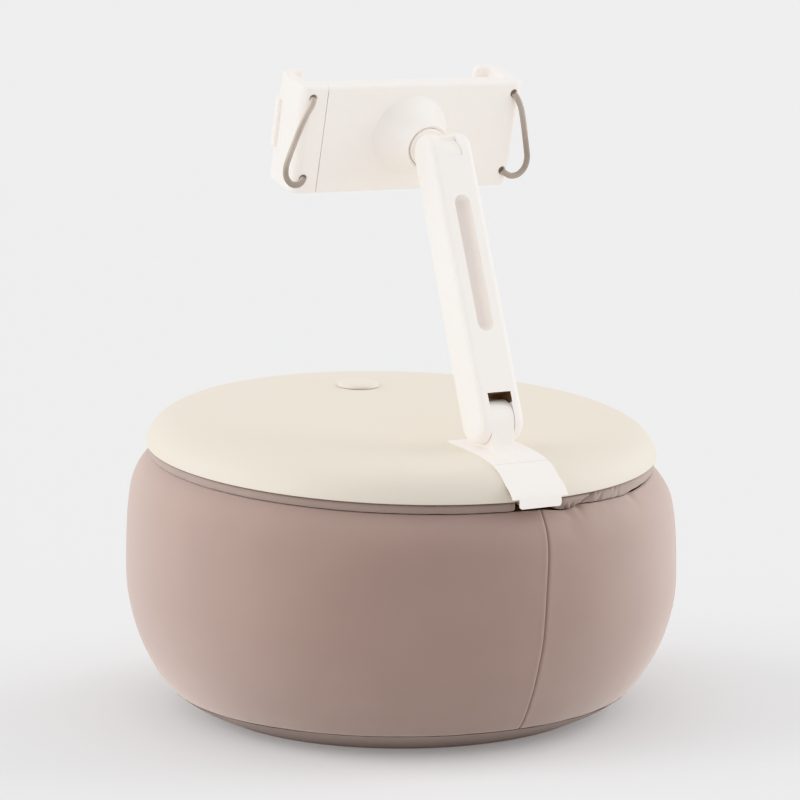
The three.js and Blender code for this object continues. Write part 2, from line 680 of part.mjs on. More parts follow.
function addHinge(name, slotHalf, z) {
  const nutFrom = slotHalf + SEAT_GAP;
  const headFrom = headSeat - SEAT_GAP - BOLT_HEAD_HEIGHT;
  const nut = cut(rodX(NUT_RADIUS, nutFrom, nutFrom + NUT_THICKNESS, 6),
    rodX(BOLT_RADIUS + RUN_GAP, 0, ARM_WIDTH));
  const bolt = join(rodX(BOLT_HEAD_RADIUS, headFrom, headFrom + BOLT_HEAD_HEIGHT),
    rodX(BOLT_RADIUS, headFrom + BOLT_HEAD_HEIGHT / 2, nutFrom + NUT_THICKNESS - SEAT_GAP));
  const washer = (side) => {
    const from = slotHalf - WASHER_GAP - WASHER_THICKNESS;
    const disc = cut(rodX(WASHER_RADIUS, from, from + WASHER_THICKNESS),
      rodX(BOLT_RADIUS + RUN_GAP, 0, ARM_WIDTH));
    return side > 0 ? disc : disc.rotateZ(Math.PI);
  };
  const cap = rodX(BOLT_HEAD_RADIUS, headFrom - SEAT_GAP - CAP_THICKNESS, headFrom - SEAT_GAP);
  const pieces = [
    [`${name}_bolt`, bolt, STEEL], [`${name}_nut`, nut, STEEL], [`${name}_cap`, cap, WHITE],
    [`${name}_washer_left`, washer(1), STEEL], [`${name}_washer_right`, washer(-1), STEEL],
  ];
  pieces.forEach(([node, geometry, finish]) => add(arm, node, geometry.translate(0, 0, z), finish));
}

add(arm, 'arm_body', armBody(), WHITE);
addHinge('lower_hinge', lowerSlotHalf, 0);
addHinge('upper_hinge', upperSlotHalf, ARM_LENGTH);

// Tilt head, in the swivel's frame: its pivot lies behind the holder's back face.

const pocketFloor = BOSS_HEIGHT - DISC_THICKNESS + DISC_PROUD - SEAT_GAP;
const washerSeat = SHELL_WALL / 2;

function tiltHead() {
  const lug = rodX(LUG_RADIUS, -LUG_WIDTH / 2, LUG_WIDTH / 2, SMALL_SIDES).translate(0, HOLDER_REACH, 0);
  const discTop = BOSS_HEIGHT + DISC_PROUD;
  const neckFoot = NECK_HALF_HEIGHT + NECK_FLARE;
  const neck = prismX([
    [discTop - DISC_THICKNESS / 2, -neckFoot], [discTop, -neckFoot],
    [HOLDER_REACH - LUG_RADIUS, -NECK_HALF_HEIGHT], [HOLDER_REACH, -NECK_HALF_HEIGHT],
    [HOLDER_REACH, NECK_HALF_HEIGHT], [HOLDER_REACH - LUG_RADIUS, NECK_HALF_HEIGHT],
    [discTop, neckFoot], [discTop - DISC_THICKNESS / 2, neckFoot],
  ], LUG_WIDTH / 2);
  const disc = rodY(DISC_RADIUS, discTop - DISC_THICKNESS, discTop, MEDIUM_SIDES);
  const spigot = rodY(SPIGOT_RADIUS, washerSeat, discTop - DISC_THICKNESS / 2);
  const bore = rodX(BOLT_RADIUS + RUN_GAP, -LUG_WIDTH, LUG_WIDTH).translate(0, HOLDER_REACH, 0);
  const thread = rodY(SCREW_RADIUS + RUN_GAP, -CUT_OVERRUN, BOSS_HEIGHT / 2, SHANK_SIDES);
  return cut(join(lug, neck, disc, spigot), bore, thread);
}

function swivelWasher() {
  const top = washerSeat - SEAT_GAP;
  const disc = rodY(SWIVEL_WASHER_RADIUS, top - SWIVEL_WASHER_THICKNESS, top);
  return cut(disc, rodY(SCREW_RADIUS + RUN_GAP, -CUT_OVERRUN, CUT_OVERRUN, SHANK_SIDES));
}

function swivelScrew() {
  const headTop = washerSeat - SWIVEL_WASHER_THICKNESS - 2 * SEAT_GAP;
  const head = rodY(SCREW_HEAD_RADIUS, headTop - SWIVEL_WASHER_THICKNESS, headTop, HEAD_SIDES);
  const tip = BOSS_HEIGHT / 2 - SEAT_GAP;
  return join(head, rodY(SCREW_RADIUS, headTop - SWIVEL_WASHER_THICKNESS / 2, tip, SHANK_SIDES));
}

add(swivel, 'tilt_head', tiltHead(), WHITE);
add(swivel, 'swivel_washer', swivelWasher(), STEEL);
add(swivel, 'swivel_screw', swivelScrew(), STEEL);

// Holder: the back face is the plane Y = 0, the tablet lies at -Y.

const jawInner = HOLDER_HALF_WIDTH - JAW_WALL;
const cavityEnd = -(HOLDER_HALF_WIDTH - JAW_WALL - SHELL_END_WALL);
const cavityMouth = PARTING_PLACE - PARTING_GAP / 2 - SHELL_END_WALL;
const cavityHalfHeight = HOLDER_HALF_HEIGHT - SHELL_END_WALL;
const frontPlateBack = -(PLATE_THICKNESS - FRONT_PLATE_THICKNESS);
const tongueBack = -(SHELL_WALL + TONGUE_BACK_ROOM);
const tongueFront = tongueBack - TONGUE_THICKNESS;
const springPostX = cavityEnd + SPRING_ROLL_RADIUS + 2 * SEAT_GAP;
const plateCorners = [[cavityEnd, 1], [cavityEnd, -1], [cavityMouth, 1], [cavityMouth, -1]];
const plateScrews = plateCorners.map(([edge, side]) => [
  edge - Math.sign(edge) * PLATE_BOSS_INSET, side * (cavityHalfHeight - PLATE_BOSS_INSET),
]);

// A jaw's outline in X and Y from its back corner to the plate's front, with its inner edge at a given place.
function jawOutline(innerEdge) {
  const lipTip = jawInner - LIP_LENGTH;
  const lipBack = -(HOLDER_DEPTH - LIP_THICKNESS);
  const half = LIP_THICKNESS / 2;
  return [
    [innerEdge, 0],
    ...arc(HOLDER_HALF_WIDTH - BACK_CORNER_RADIUS, -BACK_CORNER_RADIUS, BACK_CORNER_RADIUS, 90, 0, 4),
    ...arc(HOLDER_HALF_WIDTH - FRONT_CORNER_RADIUS, FRONT_CORNER_RADIUS - HOLDER_DEPTH,
      FRONT_CORNER_RADIUS, 0, -90, 6),
    ...arc(lipTip + half, lipBack - half, half, -90, -270, 4),
    ...arc(jawInner - INNER_CORNER_RADIUS, lipBack + INNER_CORNER_RADIUS, INNER_CORNER_RADIUS, -90, 0, 4),
    [jawInner, -PLATE_THICKNESS],
    [innerEdge, -PLATE_THICKNESS],
  ];
}

function grip() {
  const a = HOLDER_HALF_WIDTH - FRONT_CORNER_RADIUS;
  const b = FRONT_CORNER_RADIUS - HOLDER_DEPTH;
  return prismZ([
    ...arc(a, b, FRONT_CORNER_RADIUS + GRIP_RAISE, 0, -GRIP_SWEEP, 5),
    ...arc(a, b, FRONT_CORNER_RADIUS / 2, -GRIP_SWEEP, 0, 5),
  ], GRIP_HALF_HEIGHT);
}

function cordHoles() {
  const flare = 2 * CORD_HOLE_RIM;
  return [-1, 1].flatMap((side) => [
    rodY(CORD_HOLE_RADIUS, -CORD_HOLE_DEPTH, CUT_OVERRUN, HEAD_SIDES),
    new THREE.CylinderGeometry(CORD_HOLE_RADIUS + flare, CORD_HOLE_RADIUS, flare, HEAD_SIDES),
  ].map((geometry) => geometry.translate(CORD_HOLE_PLACE, 0, HOLDER_DROP + side * CORD_HOLE_HALF_SPAN)));
}

function mirrored(geometry) {
  return weld(geometry.clone().scale(-1, 1, 1));
}

function boss() {
  const rise = [0, 0.12, 0.3, 0.55, 0.8, 1];
  const waist = rise.map((share) => [
    BOSS_TOP_RADIUS + (BOSS_BASE_RADIUS - BOSS_TOP_RADIUS) * (1 - share) ** 1.7, share * BOSS_HEIGHT,
  ]);
  const profile = [[0, -SHELL_WALL / 2], [BOSS_BASE_RADIUS, -SHELL_WALL / 2], ...waist, [0, BOSS_HEIGHT]];
  return lathe(profile, MEDIUM_SIDES).rotateX(-Math.PI / 2).translate(0, 0, HOLDER_DROP);
}

function backShell() {
  const plateEdge = PARTING_PLACE - PARTING_GAP / 2;
  const body = mirrored(prismZ(jawOutline(-plateEdge), HOLDER_HALF_HEIGHT, HOLDER_EDGE_ROUNDING));
  const cavity = block([cavityEnd, cavityMouth], [-PLATE_THICKNESS - CUT_OVERRUN, -SHELL_WALL],
    [-cavityHalfHeight, cavityHalfHeight]);
  const shell = cut(join(body, boss(), mirrored(grip())), cavity);
  const posts = plateScrews.map(([x, z]) =>
    rodY(PLATE_BOSS_RADIUS, frontPlateBack + SEAT_GAP, -SHELL_WALL / 2, HEAD_SIDES).translate(x, 0, z));
  const springPost = rodY(SPRING_POST_RADIUS, frontPlateBack + SEAT_GAP, -SHELL_WALL / 2, SHANK_SIDES)
    .translate(springPostX, 0, 0);
  const threads = plateScrews.map(([x, z]) =>
    rodY(PLATE_SCREW_RADIUS + SEAT_GAP, -PLATE_THICKNESS, -SHELL_WALL, SHANK_SIDES).translate(x, 0, z));
  const swivelRoom = [
    rodY(DISC_RADIUS + RUN_GAP, pocketFloor, BOSS_HEIGHT + CUT_OVERRUN, MEDIUM_SIDES),
    rodY(SPIGOT_RADIUS + RUN_GAP, -CUT_OVERRUN, BOSS_HEIGHT),
    rodY(SWIVEL_WASHER_RADIUS + RUN_GAP, -CUT_OVERRUN, washerSeat),
  ].map((geometry) => geometry.translate(0, 0, HOLDER_DROP));
  return cut(join(shell, ...posts, springPost),
    block([0, PARTING_PLACE + CUT_OVERRUN], [tongueFront - RUN_GAP, tongueBack + RUN_GAP],
      [-TONGUE_HALF_HEIGHT - RUN_GAP, TONGUE_HALF_HEIGHT + RUN_GAP]),
    ...swivelRoom,
    ...threads,
    ...cordHoles().map(mirrored));
}

function frontPlate() {
  const body = block([cavityEnd + SEAT_GAP, cavityMouth - SEAT_GAP], [-PLATE_THICKNESS, frontPlateBack],
    [SEAT_GAP - cavityHalfHeight, cavityHalfHeight - SEAT_GAP]);
  const seats = plateScrews.flatMap(([x, z]) => [
    rodY(PLATE_SCREW_HEAD_RADIUS + RUN_GAP, -PLATE_THICKNESS - CUT_OVERRUN,
      PLATE_SCREW_HEAD_HEIGHT + 2 * SEAT_GAP - PLATE_THICKNESS, HEAD_SIDES),
    rodY(PLATE_SCREW_RADIUS + RUN_GAP, -PLATE_THICKNESS - CUT_OVERRUN, 0, SHANK_SIDES),
  ].map((geometry) => geometry.translate(x, 0, z)));
  return cut(body, ...seats);
}

function plateScrew([x, z]) {
  const headFrom = SEAT_GAP - PLATE_THICKNESS;
  const headTo = headFrom + PLATE_SCREW_HEAD_HEIGHT;
  return join(rodY(PLATE_SCREW_HEAD_RADIUS, headFrom, headTo, HEAD_SIDES),
    rodY(PLATE_SCREW_RADIUS, headTo - SEAT_GAP, headTo + PLATE_SCREW_LENGTH, SHANK_SIDES)).translate(x, 0, z);
}

function frontPad() {
  const back = -PLATE_THICKNESS - SEAT_GAP;
  return padY(FRONT_PAD_HALF_WIDTH, FRONT_PAD_HALF_HEIGHT, FRONT_PAD_CORNER, back - PAD_THICKNESS, back);
}

function jawPad() {
  const from = PLATE_THICKNESS + PAD_THICKNESS + SEAT_GAP;
  const to = HOLDER_DEPTH - LIP_THICKNESS - INNER_CORNER_RADIUS - SEAT_GAP;
  const face = jawInner - SEAT_GAP;
  return block([face - PAD_THICKNESS, face], [-to, -from], [-JAW_PAD_HALF_HEIGHT, JAW_PAD_HALF_HEIGHT]);
}

function slidingJaw() {
  const body = prismZ(jawOutline(PARTING_PLACE + PARTING_GAP / 2), HOLDER_HALF_HEIGHT, HOLDER_EDGE_ROUNDING);
  const tongue = block([PARTING_PLACE - TONGUE_LENGTH, PARTING_PLACE + JAW_WALL], [tongueFront, tongueBack],
    [-TONGUE_HALF_HEIGHT, TONGUE_HALF_HEIGHT]);
  return cut(join(body, grip(), tongue), ...cordHoles());
}

function springRoll() {
  const roll = rodY(SPRING_ROLL_RADIUS, tongueFront, tongueBack);
  const hub = rodY(SPRING_POST_RADIUS + SEAT_GAP,
    tongueFront - CUT_OVERRUN, tongueBack + CUT_OVERRUN, SHANK_SIDES);
  return cut(roll, hub).translate(springPostX, 0, 0);
}

add(holder, 'holder_back_shell', backShell(), WHITE);
add(holder, 'holder_front_plate', frontPlate(), WHITE);
plateScrews.forEach((place, i) => add(holder, `plate_screw_${i + 1}`, plateScrew(place), STEEL));
add(holder, 'front_pad', frontPad(), RUBBER);
add(holder, 'fixed_jaw_pad', mirrored(jawPad()), RUBBER);
add(holder, 'spring_roll', springRoll(), STEEL);
add(holder, 'sliding_jaw', slidingJaw(), WHITE);
add(holder, 'sliding_jaw_pad', jawPad(), RUBBER);

// Elastic loops, in the swivel's frame: each leaves the upper hole, runs outwards and down
// along the back, and turns up into the lower hole.

const LOOP_ROUTE = [
  [61.0, 0.3, 21.9], [61.9, 1.6, 20.3], [63.3, 2.4, 17.8], [65.5, 2.6, 13.6], [68.2, 2.6, 6.0],
  [70.6, 2.7, -2.0], [72.6, 2.9, -9.0], [73.7, 3.2, -14.2], [72.9, 3.3, -19.4], [69.7, 3.2, -23.2],
  [65.6, 2.7, -24.2], [62.6, 1.6, -23.2], [61.0, 0.3, -21.9],
];

function elasticLoop() {
  const curve = new THREE.CatmullRomCurve3(LOOP_ROUTE.map((point) => new THREE.Vector3(...point)));
  const section = new THREE.Shape(
    arc(0, 0, CORD_RADIUS, 0, 360, CORD_SIDES).slice(1).map(([a, b]) => new THREE.Vector2(a, b)));
  return new THREE.ExtrudeGeometry(section, { steps: CORD_STEPS, extrudePath: curve, bevelEnabled: false });
}

function cordEnd(side) {
  const mouth = -CORD_RADIUS;
  return rodY(CORD_HOLE_RADIUS - SEAT_GAP, mouth - CORD_END_LENGTH, mouth, SHANK_SIDES)
    .translate(CORD_HOLE_PLACE, 0, side * CORD_HOLE_HALF_SPAN);
}

add(swivel, 'left_elastic_loop', elasticLoop(), CORD);
add(swivel, 'left_cord_end_upper', cordEnd(1), CORD);
add(swivel, 'left_cord_end_lower', cordEnd(-1), CORD);
add(swivel, 'right_elastic_loop', mirrored(elasticLoop()), CORD);
add(swivel, 'right_cord_end_upper', mirrored(cordEnd(1)), CORD);
add(swivel, 'right_cord_end_lower', mirrored(cordEnd(-1)), CORD);

export default stand;
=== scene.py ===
"""Looks of a tablet cushion stand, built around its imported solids.

Rigid pieces are modelled in millimetres in the frame of what carries them,
and then set in the row frame in metres.
"""

import logging
import math
from collections.abc import Callable
from dataclasses import dataclass, field
from enum import Enum

import bpy
from mathutils import Matrix, Vector, noise


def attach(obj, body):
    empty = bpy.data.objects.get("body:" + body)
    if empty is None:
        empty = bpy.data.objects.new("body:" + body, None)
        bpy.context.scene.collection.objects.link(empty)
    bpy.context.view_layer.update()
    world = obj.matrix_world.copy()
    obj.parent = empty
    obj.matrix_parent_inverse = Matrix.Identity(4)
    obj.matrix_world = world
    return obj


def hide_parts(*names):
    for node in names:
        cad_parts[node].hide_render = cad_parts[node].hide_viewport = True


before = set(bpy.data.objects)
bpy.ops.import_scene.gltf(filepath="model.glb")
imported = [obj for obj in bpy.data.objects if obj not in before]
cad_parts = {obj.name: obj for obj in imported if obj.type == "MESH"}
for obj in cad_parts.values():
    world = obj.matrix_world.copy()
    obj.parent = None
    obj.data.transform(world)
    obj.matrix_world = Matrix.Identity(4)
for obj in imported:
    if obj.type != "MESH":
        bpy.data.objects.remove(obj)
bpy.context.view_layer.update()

MILLIMETRE = 0.001
# Mesh attribute that marks where shade is painted into a colour.
PAINTED_SHADE = "painted_shade"

# Corners nearer than WELD become one, and faces thinner than SLIVER are dropped.
WELD = 0.0005
SLIVER = 0.0001

log = logging.getLogger("stand")

Pair = tuple[float, float]
Triple = tuple[float, float, float]
Colour = tuple[float, float, float, float]
Shade = tuple[int, int, int]
Piece = bpy.types.Object
Socket = bpy.types.NodeSocket
Tree = bpy.types.NodeTree


class Body(Enum):
    """Bodies that pieces ride on."""

    BASE = "base"
    ARM = "arm"
    HEAD = "head"
    HOLDER = "holder"
    JAW = "jaw"


class Slot(Enum):
    """Material slots of the record."""

    COVER = "cover_fabric"
    BAG = "bag_fabric"
    CREAM = "cream_plastic"
    BOARD = "board"
    WHITE = "white_plastic"
    PAD = "pad_rubber"
    CORD = "cord_fabric"
    STEEL = "steel"


class Merge(Enum):
    """Ways in which one solid acts on another."""

    CUT = "DIFFERENCE"
    JOIN = "UNION"
    KEEP = "INTERSECT"


# Modelling steps


def pick(obj: Piece) -> None:
    """Makes one object the only selected and the active one.

    Args:
        obj: The object to work on.
    """
    bpy.ops.object.select_all(action="DESELECT")
    obj.select_set(True)
    bpy.context.view_layer.objects.active = obj


def outline(name: str, points: list[Vector], filled: bool) -> Piece:
    """Adds a circle and moves its corners onto a closed outline.

    Args:
        name: Name of the new object.
        points: Corners in order, at least three.
        filled: Whether the outline is a face or only its edges.

    Returns:
        The new object.
    """
    bpy.ops.object.select_all(action="DESELECT")
    bpy.ops.mesh.primitive_circle_add(
        vertices=len(points), radius=1.0, fill_type="NGON" if filled else "NOTHING")
    obj = bpy.context.active_object
    obj.name = name
    for vertex, point in zip(obj.data.vertices, points):
        vertex.co = point
    return obj


def drawn_out(name: str, points: list[Vector], along: Vector) -> Piece:
    """Draws a closed outline out into a solid.

    Args:
        name: Name of the new object.
        points: Corners of the outline.
        along: Direction and length of the drawing.

    Returns:
        The solid.
    """
    obj = outline(name, points, True)
    bpy.ops.object.mode_set(mode="EDIT")
    bpy.ops.mesh.select_all(action="SELECT")
    bpy.ops.mesh.extrude_region_move(TRANSFORM_OT_translate={"value": along})
    bpy.ops.mesh.select_all(action="SELECT")
    bpy.ops.mesh.normals_make_consistent(inside=False)
    bpy.ops.object.mode_set(mode="OBJECT")
    return obj


def prism_x(name: str, points: list[Pair], half: float) -> Piece:
    """Draws an outline in Y and Z out along X, as far each way as half."""
    return drawn_out(name, [Vector((-half, y, z)) for y, z in points], Vector((2 * half, 0, 0)))


def prism_y(name: str, points: list[Pair], start: float, end: float) -> Piece:
    """Draws an outline in X and Z out along Y, from start to end."""
    return drawn_out(name, [Vector((x, start, z)) for x, z in points], Vector((0, end - start, 0)))


def prism_z(name: str, points: list[Pair], half: float) -> Piece:
    """Draws an outline in X and Y out along Z, as far each way as half."""
    return drawn_out(name, [Vector((x, y, -half)) for x, y in points], Vector((0, 0, 2 * half)))


def block(name: str, low: Triple, high: Triple) -> Piece:
    """Makes a box between two corners, as a tool or as the start of a piece.

    Args:
        name: Name of the new object.
        low: The corner with the smaller coordinates.
        high: The corner with the larger ones.

    Returns:
        The box.
    """
    corners = [(low[0], low[1]), (high[0], low[1]), (high[0], high[1]), (low[0], high[1])]
    points = [Vector((x, y, low[2])) for x, y in corners]
    return drawn_out(name, points, Vector((0, 0, high[2] - low[2])))


def spun(name: str, profile: list[Pair], steps: int) -> Piece:
    """Spins a closed profile of radius and height about Z.

    Args:
        name: Name of the new object.
        profile: Corners of the profile; those at radius 0 meet in a pole.
        steps: Faces around.

    Returns:
        The solid of revolution.
    """
    obj = outline(name, [Vector((radius, 0, height)) for radius, height in profile], False)
    bpy.ops.object.mode_set(mode="EDIT")
    bpy.ops.mesh.select_all(action="SELECT")
    bpy.ops.mesh.spin(steps=steps, angle=2 * math.pi, center=(0, 0, 0), axis=(0, 0, 1))
    bpy.ops.mesh.select_all(action="SELECT")
    bpy.ops.mesh.remove_doubles(threshold=WELD)
    bpy.ops.mesh.dissolve_degenerate(threshold=SLIVER)
    bpy.ops.mesh.select_all(action="SELECT")
    bpy.ops.mesh.delete_loose(use_verts=True, use_edges=True, use_faces=False)
    bpy.ops.mesh.select_all(action="SELECT")
    bpy.ops.mesh.normals_make_consistent(inside=False)
    bpy.ops.object.mode_set(mode="OBJECT")
    return obj


def rod(name: str, radius: float, start: Vector, end: Vector, sides: int = 48) -> Piece:
    """Makes a round rod between two points, as a tool or as the start of a piece.

    Args:
        name: Name of the new object.
        radius: The rod's radius.
        start: Middle of its first end.
        end: Middle of its other end.
        sides: Faces around.

    Returns:
        The rod.
    """
    axis = end - start
    turn = axis.to_track_quat("Z", "Y").to_matrix()
    corners = [turn @ Vector((radius * math.cos(a), radius * math.sin(a), 0)) + start
               for a in (2 * math.pi * i / sides for i in range(sides))]
    return drawn_out(name, corners, axis)


def merge(obj: Piece, way: Merge, *tools: Piece) -> Piece:
    """Cuts, joins or trims a solid with others, which are used up.

    Args:
        obj: The solid to change.
        way: What the others do to it.
        tools: The other solids.

    Returns:
        The changed solid.
    """
    for tool in tools:
        pick(obj)
        step = obj.modifiers.new(way.name, "BOOLEAN")
        step.operation = way.value
        step.solver = "EXACT"
        step.object = tool
        bpy.ops.object.modifier_apply(modifier=step.name)
        bpy.data.objects.remove(tool)
    return obj


def round_edges(obj: Piece, wanted: Callable[[Vector, Vector], bool], size: float, segments: int) -> None:
    """Bevels the edges that a test picks by the places of their two ends.

    Args:
        obj: The solid to change.
        wanted: Says of an edge's two ends whether the edge is rounded.
        size: Width of the rounding.
        segments: Faces across the rounding.
    """
    pick(obj)
    mesh = obj.data
    bpy.ops.object.mode_set(mode="EDIT")
    bpy.ops.mesh.select_mode(type="EDGE")
    bpy.ops.mesh.select_all(action="DESELECT")
    bpy.ops.object.mode_set(mode="OBJECT")
    for edge in mesh.edges:
        edge.select = wanted(mesh.vertices[edge.vertices[0]].co, mesh.vertices[edge.vertices[1]].co)
    bpy.ops.object.mode_set(mode="EDIT")
    bpy.ops.mesh.bevel(offset=size, segments=segments, profile=0.5, affect="EDGES", clamp_overlap=True)
    bpy.ops.object.mode_set(mode="OBJECT")


def soften(obj: Piece, width: float, segments: int, angle: float) -> None:
    """Rounds every edge sharper than an angle with a Bevel modifier, which is applied.

    Args:
        obj: The solid to change.
        width: Width of the rounding.
        segments: Faces across the rounding.
        angle: Edges that turn by more than this many degrees are rounded.
    """
    pick(obj)
    step = obj.modifiers.new("edges", "BEVEL")
    step.width = width
    step.segments = segments
    step.limit_method = "ANGLE"
    step.angle_limit = math.radians(angle)
    step.use_clamp_overlap = True
    bpy.ops.object.modifier_apply(modifier=step.name)


def smooth(obj: Piece, angle: float = 32) -> None:
    """Shades an object smooth, apart from edges sharper than an angle in degrees."""
    pick(obj)
    bpy.ops.object.shade_smooth_by_angle(angle=math.radians(angle))


def smooth_rigid(obj: Piece, weight: int = 100) -> None:
    """Shades a moulded piece smooth with its large faces kept flat, through a Weighted Normal modifier.

    Args:
        obj: The piece to shade.
        weight: How much more a large face counts than a small one.
    """
    smooth(obj)
    step = obj.modifiers.new("flat faces", "WEIGHTED_NORMAL")
    step.keep_sharp = True
    step.weight = weight
    bpy.ops.object.modifier_apply(modifier=step.name)


def refine(obj: Piece, levels: int = 1) -> None:
    """Adds a Subdivision Surface modifier and applies it.

    Args:
        obj: The piece to refine.
        levels: How often each face is divided.
    """
    pick(obj)
    step = obj.modifiers.new("finer", "SUBSURF")
    step.levels = levels
    step.render_levels = levels
    bpy.ops.object.modifier_apply(modifier=step.name)


def settle(obj: Piece, place: Matrix) -> Piece:
    """Brings an object to a place and keeps the place in its mesh.

    Args:
        obj: The object to move.
        place: Where it goes.

    Returns:
        The object, at the origin and unturned.
    """
    obj.matrix_world = place
    pick(obj)
    bpy.ops.object.transform_apply(location=True, rotation=True, scale=True)
    return obj


def seat(obj: Piece, place: Matrix) -> None:
    """Sets a piece that was modelled in millimetres in the row frame, with its place in its mesh."""
    settle(obj, Matrix.Scale(MILLIMETRE, 4) @ place)


def own_copy(obj: Piece, name: str) -> Piece:
    """Copies an object with a mesh of its own.

    Args:
        obj: The object to copy.
        name: Name of the copy.

    Returns:
        The copy.
    """
    twin = obj.copy()
    twin.data = obj.data.copy()
    twin.name = name
    bpy.context.scene.collection.objects.link(twin)
    return twin


def tube(name: str, columns: int, rows: int, place: Callable[[int, int], Vector],
         unwrap: Callable[[int, int], Pair]) -> Piece:
    """Extrudes a circle into a tube of rows, and moves each corner to the place of its column and row.

    Args:
        name: Name of the new object.
        columns: Corners around.
        rows: Extrusions along.
        place: Place of a column's corner in a row.
        unwrap: Place of the same corner on the cloth's own map, in millimetres; the column may equal columns.

    Returns:
        The tube, open at both ends.
    """
    bpy.ops.object.select_all(action="DESELECT")
    bpy.ops.mesh.primitive_circle_add(vertices=columns, radius=1.0, fill_type="NOTHING")
    obj = bpy.context.active_object
    obj.name = name
    bpy.ops.object.mode_set(mode="EDIT")
    bpy.ops.mesh.select_all(action="SELECT")
    for _ in range(rows):
        bpy.ops.mesh.extrude_region_move(TRANSFORM_OT_translate={"value": (0, 0, 1)})
    bpy.ops.object.mode_set(mode="OBJECT")
    mesh = obj.data
    first = math.atan2(mesh.vertices[0].co.y, mesh.vertices[0].co.x)
    step = 2 * math.pi / columns
    cells = [(round((math.atan2(v.co.y, v.co.x) - first) / step) % columns, round(v.co.z))
             for v in mesh.vertices]
    for vertex, (column, row) in zip(mesh.vertices, cells):
        vertex.co = place(column, row)
    chart = mesh.uv_layers.new(name="UVMap")
    for face in mesh.polygons:
        around = [cells[v][0] for v in face.vertices]
        wraps = max(around) - min(around) > columns / 2
        for loop in face.loop_indices:
            column, row = cells[mesh.loops[loop].vertex_index]
            past = columns if wraps and column < columns / 2 else 0
            chart.data[loop].uv = unwrap(column + past, row)
    return obj


def close_ends(obj: Piece) -> None:
    """Merges corners that meet, fills the open ends and turns the faces outwards.

    Args:
        obj: The tube to close.
    """
    pick(obj)
    bpy.ops.object.mode_set(mode="EDIT")
    bpy.ops.mesh.select_all(action="SELECT")
    bpy.ops.mesh.remove_doubles(threshold=WELD)
    bpy.ops.mesh.fill_holes(sides=0)
    bpy.ops.mesh.select_all(action="SELECT")
    bpy.ops.mesh.normals_make_consistent(inside=False)
    bpy.ops.object.mode_set(mode="OBJECT")


def arc(a: float, b: float, radius: float, start: float, end: float, steps: int) -> list[Pair]:
    """Gives points on an arc, with its angles in degrees."""
    angles = [math.radians(start + (end - start) * i / steps) for i in range(steps + 1)]
    return [(a + radius * math.cos(t), b + radius * math.sin(t)) for t in angles]


def curve_through(knots: list[Vector], steps: int) -> list[Vector]:
    """Gives points on a smooth curve through knots.

    Args:
        knots: Points that the curve passes through.
        steps: Steps from one knot to the next.

    Returns:
        The curve's points, the knots among them.
    """
    points = []
    for i in range(len(knots) - 1):
        before, start, end = knots[max(i - 1, 0)], knots[i], knots[i + 1]
        after = knots[min(i + 2, len(knots) - 1)]
        for k in range(steps):
            t = k / steps
            points.append(0.5 * (2 * start + (end - before) * t
                                 + (2 * before - 5 * start + 4 * end - after) * t * t
                                 + (3 * start - before - 3 * end + after) * t ** 3))
    return [*points, knots[-1].copy()]


def even(start: float, end: float, step: float) -> list[float]:
    """Divides a span evenly, its start among the places and its end not."""
    count = round((end - start) / step)
    return [start + (end - start) * i / count for i in range(count)]


def ramp(value: float, start: float, end: float) -> float:
    """Goes evenly from 0 at start to 1 at end."""
    return min(max((value - start) / (end - start), 0.0), 1.0)


def fade(value: float, start: float, end: float) -> float:
    """Goes smoothly from 0 at start to 1 at end."""
    share = ramp(value, start, end)
    return share * share * (3 - 2 * share)


def read_off(table: tuple[Pair, ...], place: float, ease: Callable[[float, float, float], float]) -> float:
    """Reads a value off a table.

    Args:
        table: Places in order, each with its value.
        place: Where to read.
        ease: How the value goes from one place to the next.

    Returns:
        The value there.
    """
    low = table[0]
    for high in table[1:]:
        if place <= high[0]:
            return low[1] + (high[1] - low[1]) * ease(place, low[0], high[0])
        low = high
    return low[1]


def ripple(x: float, y: float = 0.0, z: float = 0.0) -> float:
    """Gives smooth noise from about -1 to 1, the same on each run."""
    return noise.noise(Vector((x, y, z)))


# Finishes


def tone(red: int, green: int, blue: int) -> Colour:
    """Turns a screen colour into the linear one that shaders take."""
    linear = [((c / 255 + 0.055) / 1.055) ** 2.4 if c > 10 else c / 3294.6 for c in (red, green, blue)]
    return (linear[0], linear[1], linear[2], 1.0)


def new_group(name: str, takes: list[tuple[str, str]], gives: list[tuple[str, str]]) -> Tree:
    """Makes an empty shader node group.

    Args:
        name: Name of the group.
        takes: Label and socket type of each input.
        gives: Label and socket type of each output.

    Returns:
        The group, with its input and output nodes.
    """
    tree = bpy.data.node_groups.new(name, "ShaderNodeTree")
    for label, kind in takes:
        tree.interface.new_socket(label, in_out="INPUT", socket_type=kind)
    for label, kind in gives:
        tree.interface.new_socket(label, in_out="OUTPUT", socket_type=kind)
    tree.nodes.new("NodeGroupInput").name = "in"
    tree.nodes.new("NodeGroupOutput").name = "out"
    return tree


def feed(tree: Tree, value: object, socket: Socket) -> None:
    """Sets an input to a plain value, or links it to another node's output.

    Args:
        tree: Where the nodes are.
        value: A number, a colour or an output.
        socket: The input.
    """
    if isinstance(value, (int, float, tuple)):
        socket.default_value = value
    else:
        tree.links.new(value, socket)


def sum_node(tree: Tree, operation: str, first: object, second: object) -> Socket:
    """Adds a Math node.

    Args:
        tree: Where the node goes.
        operation: What it does.
        first: A socket or a number.
        second: A socket or a number.

    Returns:
        The result's socket.
    """
    node = tree.nodes.new("ShaderNodeMath")
    node.operation = operation
    for socket, value in zip(node.inputs, (first, second)):
        feed(tree, value, socket)
    return node.outputs[0]


